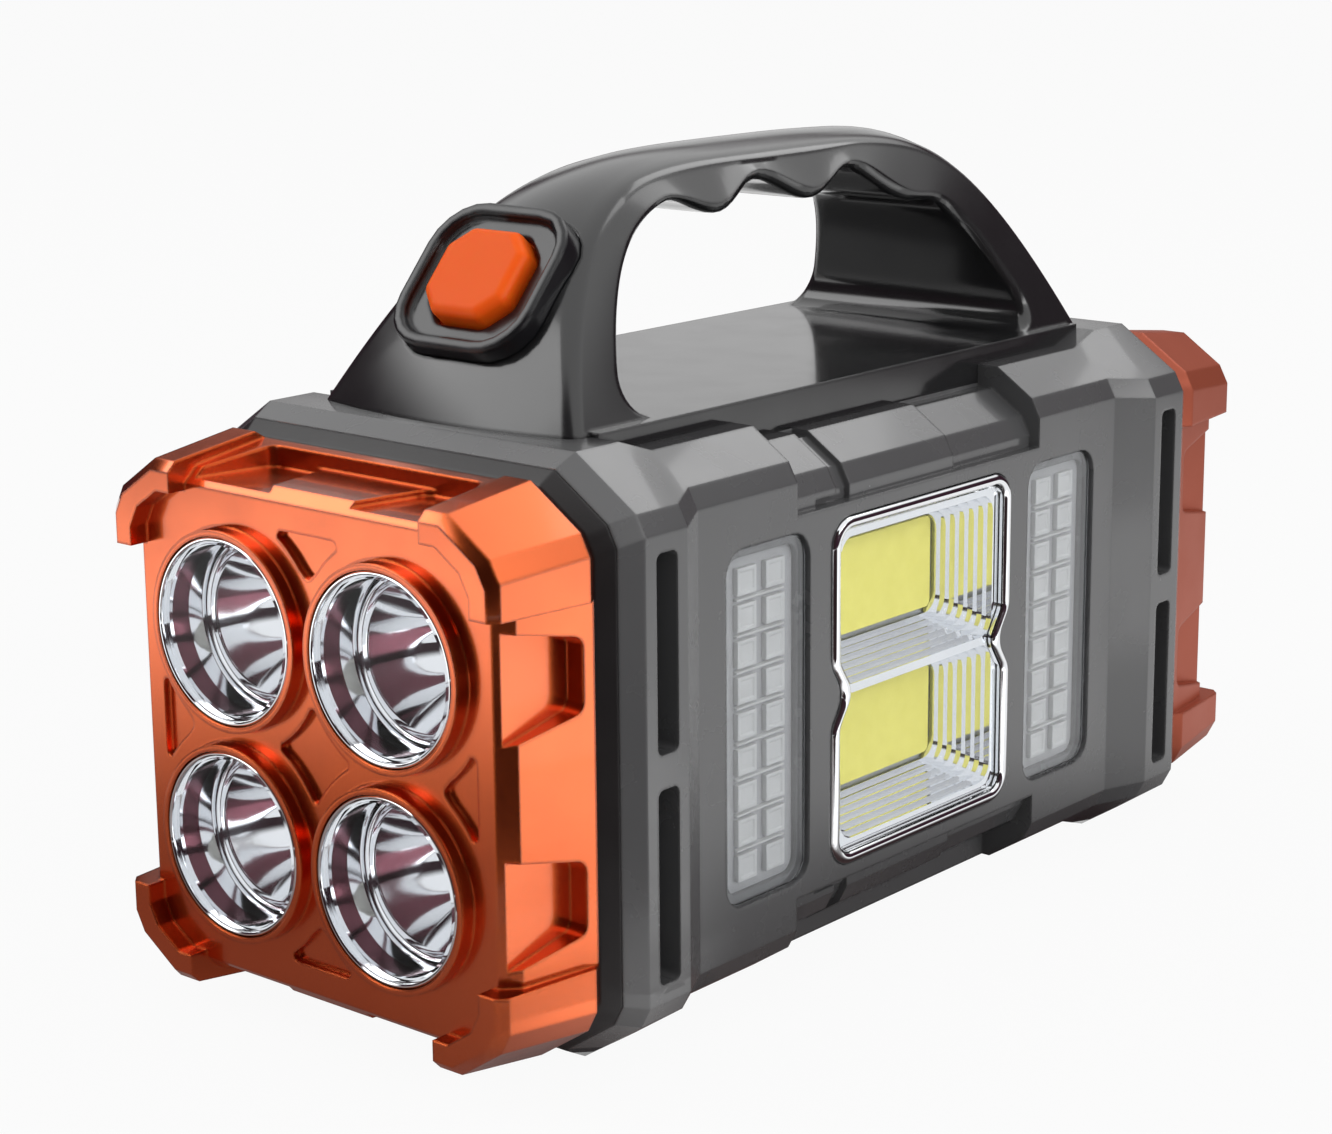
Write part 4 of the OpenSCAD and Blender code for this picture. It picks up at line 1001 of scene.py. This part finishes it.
@dataclass
class Studio:
    """Floor, light and camera of the picture."""

    azimuth: float = 39.338
    elevation: float = 13.226
    roll: float = -0.2225
    distance: float = 404.36
    target_z: float = 50.281
    lens: float = 78.893
    sensor: float = 36.0
    shift_x: float = -0.04601
    shift_y: float = -0.02372
    clip_start: float = 10.0
    floor_size: float = 6000.0
    floor_colour: str = "#b4b4b4"
    floor_glow: float = 0.94
    soft_wall: float = 0.34
    soft_ceiling: float = 0.6
    wall_r: float = 430.0
    wall_steps: int = 48
    aim: Point = (0.0, 0.0, 40.0)
    dark_card: str = "#2c2022"

    def build(self) -> None:
        """Makes the camera, the floor and the light."""
        bpy.context.scene.view_settings.view_transform = "Standard"
        self.place_camera()
        self.lay_floor()
        self.light_world()
        self.softbox("key_softbox", (-620, -560, 620), width=900, height=800, power=4.5)
        self.softbox("side_softbox", (900, 60, 380), width=700, height=420, power=5.0)
        self.softbox("top_softbox", (120, 520, 690), width=520, height=320, power=0.85)
        self.card("front_flag", (150, -350, 280), width=900, height=900, colour=self.dark_card, tilt=90, turn=22)
        self.card("right_mat", (200, -150, 1), width=440, height=300, colour=self.dark_card)
        self.card("front_bounce", (-140, -265, 1), width=420, height=300, strength=2.0, fade=0.8)
        # Painted shade: a dim card on the floor before the lamp, seen only in reflections, stands for the floor's shade
        # near it, so the bezel's face reflects darker towards the bottom.
        self.card("front_mat", (-50, -110, 2), width=380, height=320, colour="#7d6a66", fade=1.0)
        # Painted shadow: a dark card under the lamp, seen only in reflections, stands for the shadow beneath it.
        self.card("painted_contact_shadow_card", (0, 0, 1), width=180, height=260, colour=self.dark_card, fade=0.5)
        self.card("side_bounce", (170, 30, 2), width=360, height=90, turn=36, strength=2.0)
        self.card("back_bounce", (-250, 305, 170), width=420, height=200, tilt=90, turn=39, strength=0.7, fade=0.6)
        self.put_up_wall("dim_wall", whole=240, top=340, colour="#35202a").visible_transmission = False
        self.put_up_wall("low_wall", whole=90, top=190, colour="#2c1a20").visible_glossy = False

    def place_camera(self) -> None:
        """Puts the camera where the photograph was taken from."""
        az, el, roll = (math.radians(a) for a in (self.azimuth, self.elevation, self.roll))
        back = Vector((math.sin(az) * math.cos(el), -math.cos(az) * math.cos(el), math.sin(el)))
        right = Vector((math.cos(az), math.sin(az), 0))
        up = back.cross(right)
        across = math.cos(roll) * right + math.sin(roll) * up
        upward = math.cos(roll) * up - math.sin(roll) * right
        data = bpy.data.cameras.new("photo_camera")
        data.sensor_width = self.sensor
        data.lens = self.lens
        data.shift_x = self.shift_x
        data.shift_y = self.shift_y
        data.clip_start = self.clip_start * MM
        camera = add_object("photo_camera", data)
        pose = Matrix((across, upward, back)).transposed().to_4x4()
        pose.translation = (Vector((0, 0, self.target_z)) + back * self.distance) * MM
        camera.matrix_world = pose
        bpy.context.scene.camera = camera

    def lay_floor(self) -> None:
        """Makes the pale floor, which shows nearly white with a soft shadow."""
        half = self.floor_size / 2
        material, tree = new_material("studio_paper")
        share = add_node(tree, "ShaderNodeMath", {0: self.seen(tree), 1: self.floor_glow},
                         operation="MULTIPLY").outputs[0]
        paper = add_node(tree, "ShaderNodeBsdfDiffuse", {"Color": linear(self.floor_colour)})
        self.paint(tree, paper, share, WHITE)
        floor = add_mesh("floor", [(sx * half, sy * half, 0.0) for sx, sy in CORNERS], [(0, 1, 2, 3)], material)

    def seen(self, tree: bpy.types.NodeTree) -> bpy.types.NodeSocket:
        """Tells rays that show the background from rays that carry light.

        Args:
            tree: node tree that asks.

        Returns:
            One for what the camera sees, straight or in metal and glass, and zero for diffuse light.
        """
        path = add_node(tree, "ShaderNodeLightPath").outputs
        mirror = add_node(tree, "ShaderNodeMath", {0: path["Is Glossy Ray"], 1: path["Is Transmission Ray"]},
                          operation="MAXIMUM").outputs[0]
        return add_node(tree, "ShaderNodeMath", {0: path["Is Camera Ray"], 1: mirror},
                        operation="MAXIMUM").outputs[0]

    def light_world(self) -> None:
        """Lights the room softly from above; the background itself is white."""
        world = bpy.data.worlds.new("studio_room")
        bpy.context.scene.world = world
        world.use_nodes = True
        tree = world.node_tree
        tree.nodes.clear()
        way = add_node(tree, "ShaderNodeTexCoord").outputs["Generated"]
        up = add_node(tree, "ShaderNodeSeparateXYZ", {"Vector": way}).outputs["Z"]
        soft = add_node(tree, "ShaderNodeMapRange", {
            "Value": up, "From Min": 0.0, "From Max": 1.0, "To Min": self.soft_wall, "To Max": self.soft_ceiling,
        }).outputs[0]
        strength = add_node(tree, "ShaderNodeMix", {
            MIX_FACTOR: self.seen(tree), NUMBER_A: soft, NUMBER_B: 1.0,
        }).outputs[NUMBER_OUT]
        sky = add_node(tree, "ShaderNodeBackground", {"Color": linear(WHITE), "Strength": strength})
        add_node(tree, "ShaderNodeOutputWorld", {"Surface": sky.outputs[0]})

    def put_up_wall(self, name: str, whole: float, top: float, colour: str) -> bpy.types.Object:
        """Puts a dim wall round the lamp, up to a soft edge under the bright ceiling.

        Args:
            name: name of the wall.
            whole: height up to which it is whole, in millimetres.
            top: height at which it has faded out, in millimetres.
            colour: colour of the wall.

        Returns:
            The wall.
        """
        turns = [2 * math.pi * k / self.wall_steps for k in range(self.wall_steps)]
        points = [(self.wall_r * math.cos(t), self.wall_r * math.sin(t), z) for z in (0.0, top) for t in turns]
        material, tree = new_material(name)
        spot = add_node(tree, "ShaderNodeNewGeometry").outputs["Position"]
        up = add_node(tree, "ShaderNodeSeparateXYZ", {"Vector": spot}).outputs["Z"]
        cover = add_node(tree, "ShaderNodeMapRange", {
            "Value": up, "From Min": top * MM, "From Max": whole * MM,
        }, interpolation_type="SMOOTHSTEP").outputs[0]
        self.paint(tree, add_node(tree, "ShaderNodeBsdfTransparent"), cover, colour)
        return self.set_up(name, points, bands(self.wall_steps, 2), material)

    def card(self, name: str, place: Point, width: float, height: float, colour: str = WHITE, tilt: float = 0.0,
             turn: float = 0.0, strength: float = 1.0, fade: float = 0.3) -> None:
        """Sets up a card with a soft edge, which the mirrors behind the lenses do not show.

        Args:
            name: name of the card.
            place: its middle, in millimetres.
            width: its width in millimetres.
            height: its height in millimetres.
            colour: colour of the card.
            tilt: zero for a card that lies flat, 90 degrees for one that stands.
            turn: its turn about the vertical, in degrees.
            strength: its brightness.
            fade: share of its half width over which it fades out.
        """
        a, b = width / 2, height / 2
        material, tree = new_material(name)
        spot = add_node(tree, "ShaderNodeTexCoord").outputs["Object"]
        centred = add_node(tree, "ShaderNodeMapping", {
            "Vector": spot, "Scale": (per_mm(a), per_mm(b), 1.0),
        }).outputs[0]
        falloff = add_node(tree, "ShaderNodeTexGradient", {"Vector": centred}, gradient_type="SPHERICAL")
        cover = add_node(tree, "ShaderNodeMapRange", {
            "Value": falloff.outputs["Fac"], "From Min": 0.0, "From Max": fade,
        }, interpolation_type="SMOOTHSTEP").outputs[0]
        self.paint(tree, add_node(tree, "ShaderNodeBsdfTransparent"), cover, colour, strength)
        card = self.set_up(name, [(sx * a, sy * b, 0.0) for sx, sy in CORNERS], [(0, 1, 2, 3)], material)
        card.location = Vector(place) * MM
        card.rotation_euler = (math.radians(tilt), 0, math.radians(turn))
        card.visible_transmission = False

    def paint(self, tree: bpy.types.NodeTree, under: bpy.types.Node, cover: bpy.types.NodeSocket, colour: str,
              strength: float = 1.0) -> None:
        """Covers a surface with a glowing colour.

        Args:
            tree: node tree of the material.
            under: shader that shows where there is no cover.
            cover: one where the surface is covered, zero where it is bare.
            colour: colour of the glow.
            strength: its brightness.
        """
        glow = add_node(tree, "ShaderNodeEmission", {"Color": linear(colour), "Strength": strength})
        mixed = add_node(tree, "ShaderNodeMixShader", {0: cover, 1: under.outputs[0], 2: glow.outputs[0]})
        add_node(tree, "ShaderNodeOutputMaterial", {"Surface": mixed.outputs[0]})

    def set_up(self, name: str, points: Sequence[Point], faces: Sequence[Face],
               material: bpy.types.Material) -> bpy.types.Object:
        """Sets up a card that shows only in reflections, as a photographer shades metal.

        Args:
            name: name of the card.
            points: its corners in millimetres.
            faces: corners of each face.
            material: its material.

        Returns:
            The card.
        """
        card = add_mesh(name, points, faces, material)
        card.visible_camera = card.visible_diffuse = card.visible_shadow = False
        return card

    def softbox(self, name: str, place: Point, width: float, height: float, power: float) -> None:
        """Adds a rectangular soft light that faces the lamp.

        Args:
            name: name of the light.
            place: its middle, in millimetres.
            width: its width in millimetres.
            height: its height in millimetres.
            power: its power in watts.
        """
        data = bpy.data.lights.new(name, "AREA")
        data.shape = "RECTANGLE"
        data.size = width * MM
        data.size_y = height * MM
        data.energy = power
        lamp = add_object(name, data)
        lamp.location = Vector(place) * MM
        lamp.rotation_euler = (Vector(place) - Vector(self.aim)).to_track_quat("Z", "Y").to_euler()


def main() -> None:
    """Builds the scene, one sub-assembly after the other."""
    logging.basicConfig(level=logging.INFO, format="%(message)s")
    Studio().build()
    shop = Workshop(frame["nodes"], Finishes(), Edges())
    assemblies: list[Assembly] = [Body(), EndCaps(), FrontLamps(), PowerSwitch(), ChargingPort(), PowerPack()]
    assemblies += [Floodlight(side) for side in Side]
    assemblies += [StripLight(side, end) for side in Side for end in End]
    for assembly in assemblies:
        assembly.build(shop)
        LOG.info("%s is done", type(assembly).__name__)


if __name__ == "__main__":
    main()
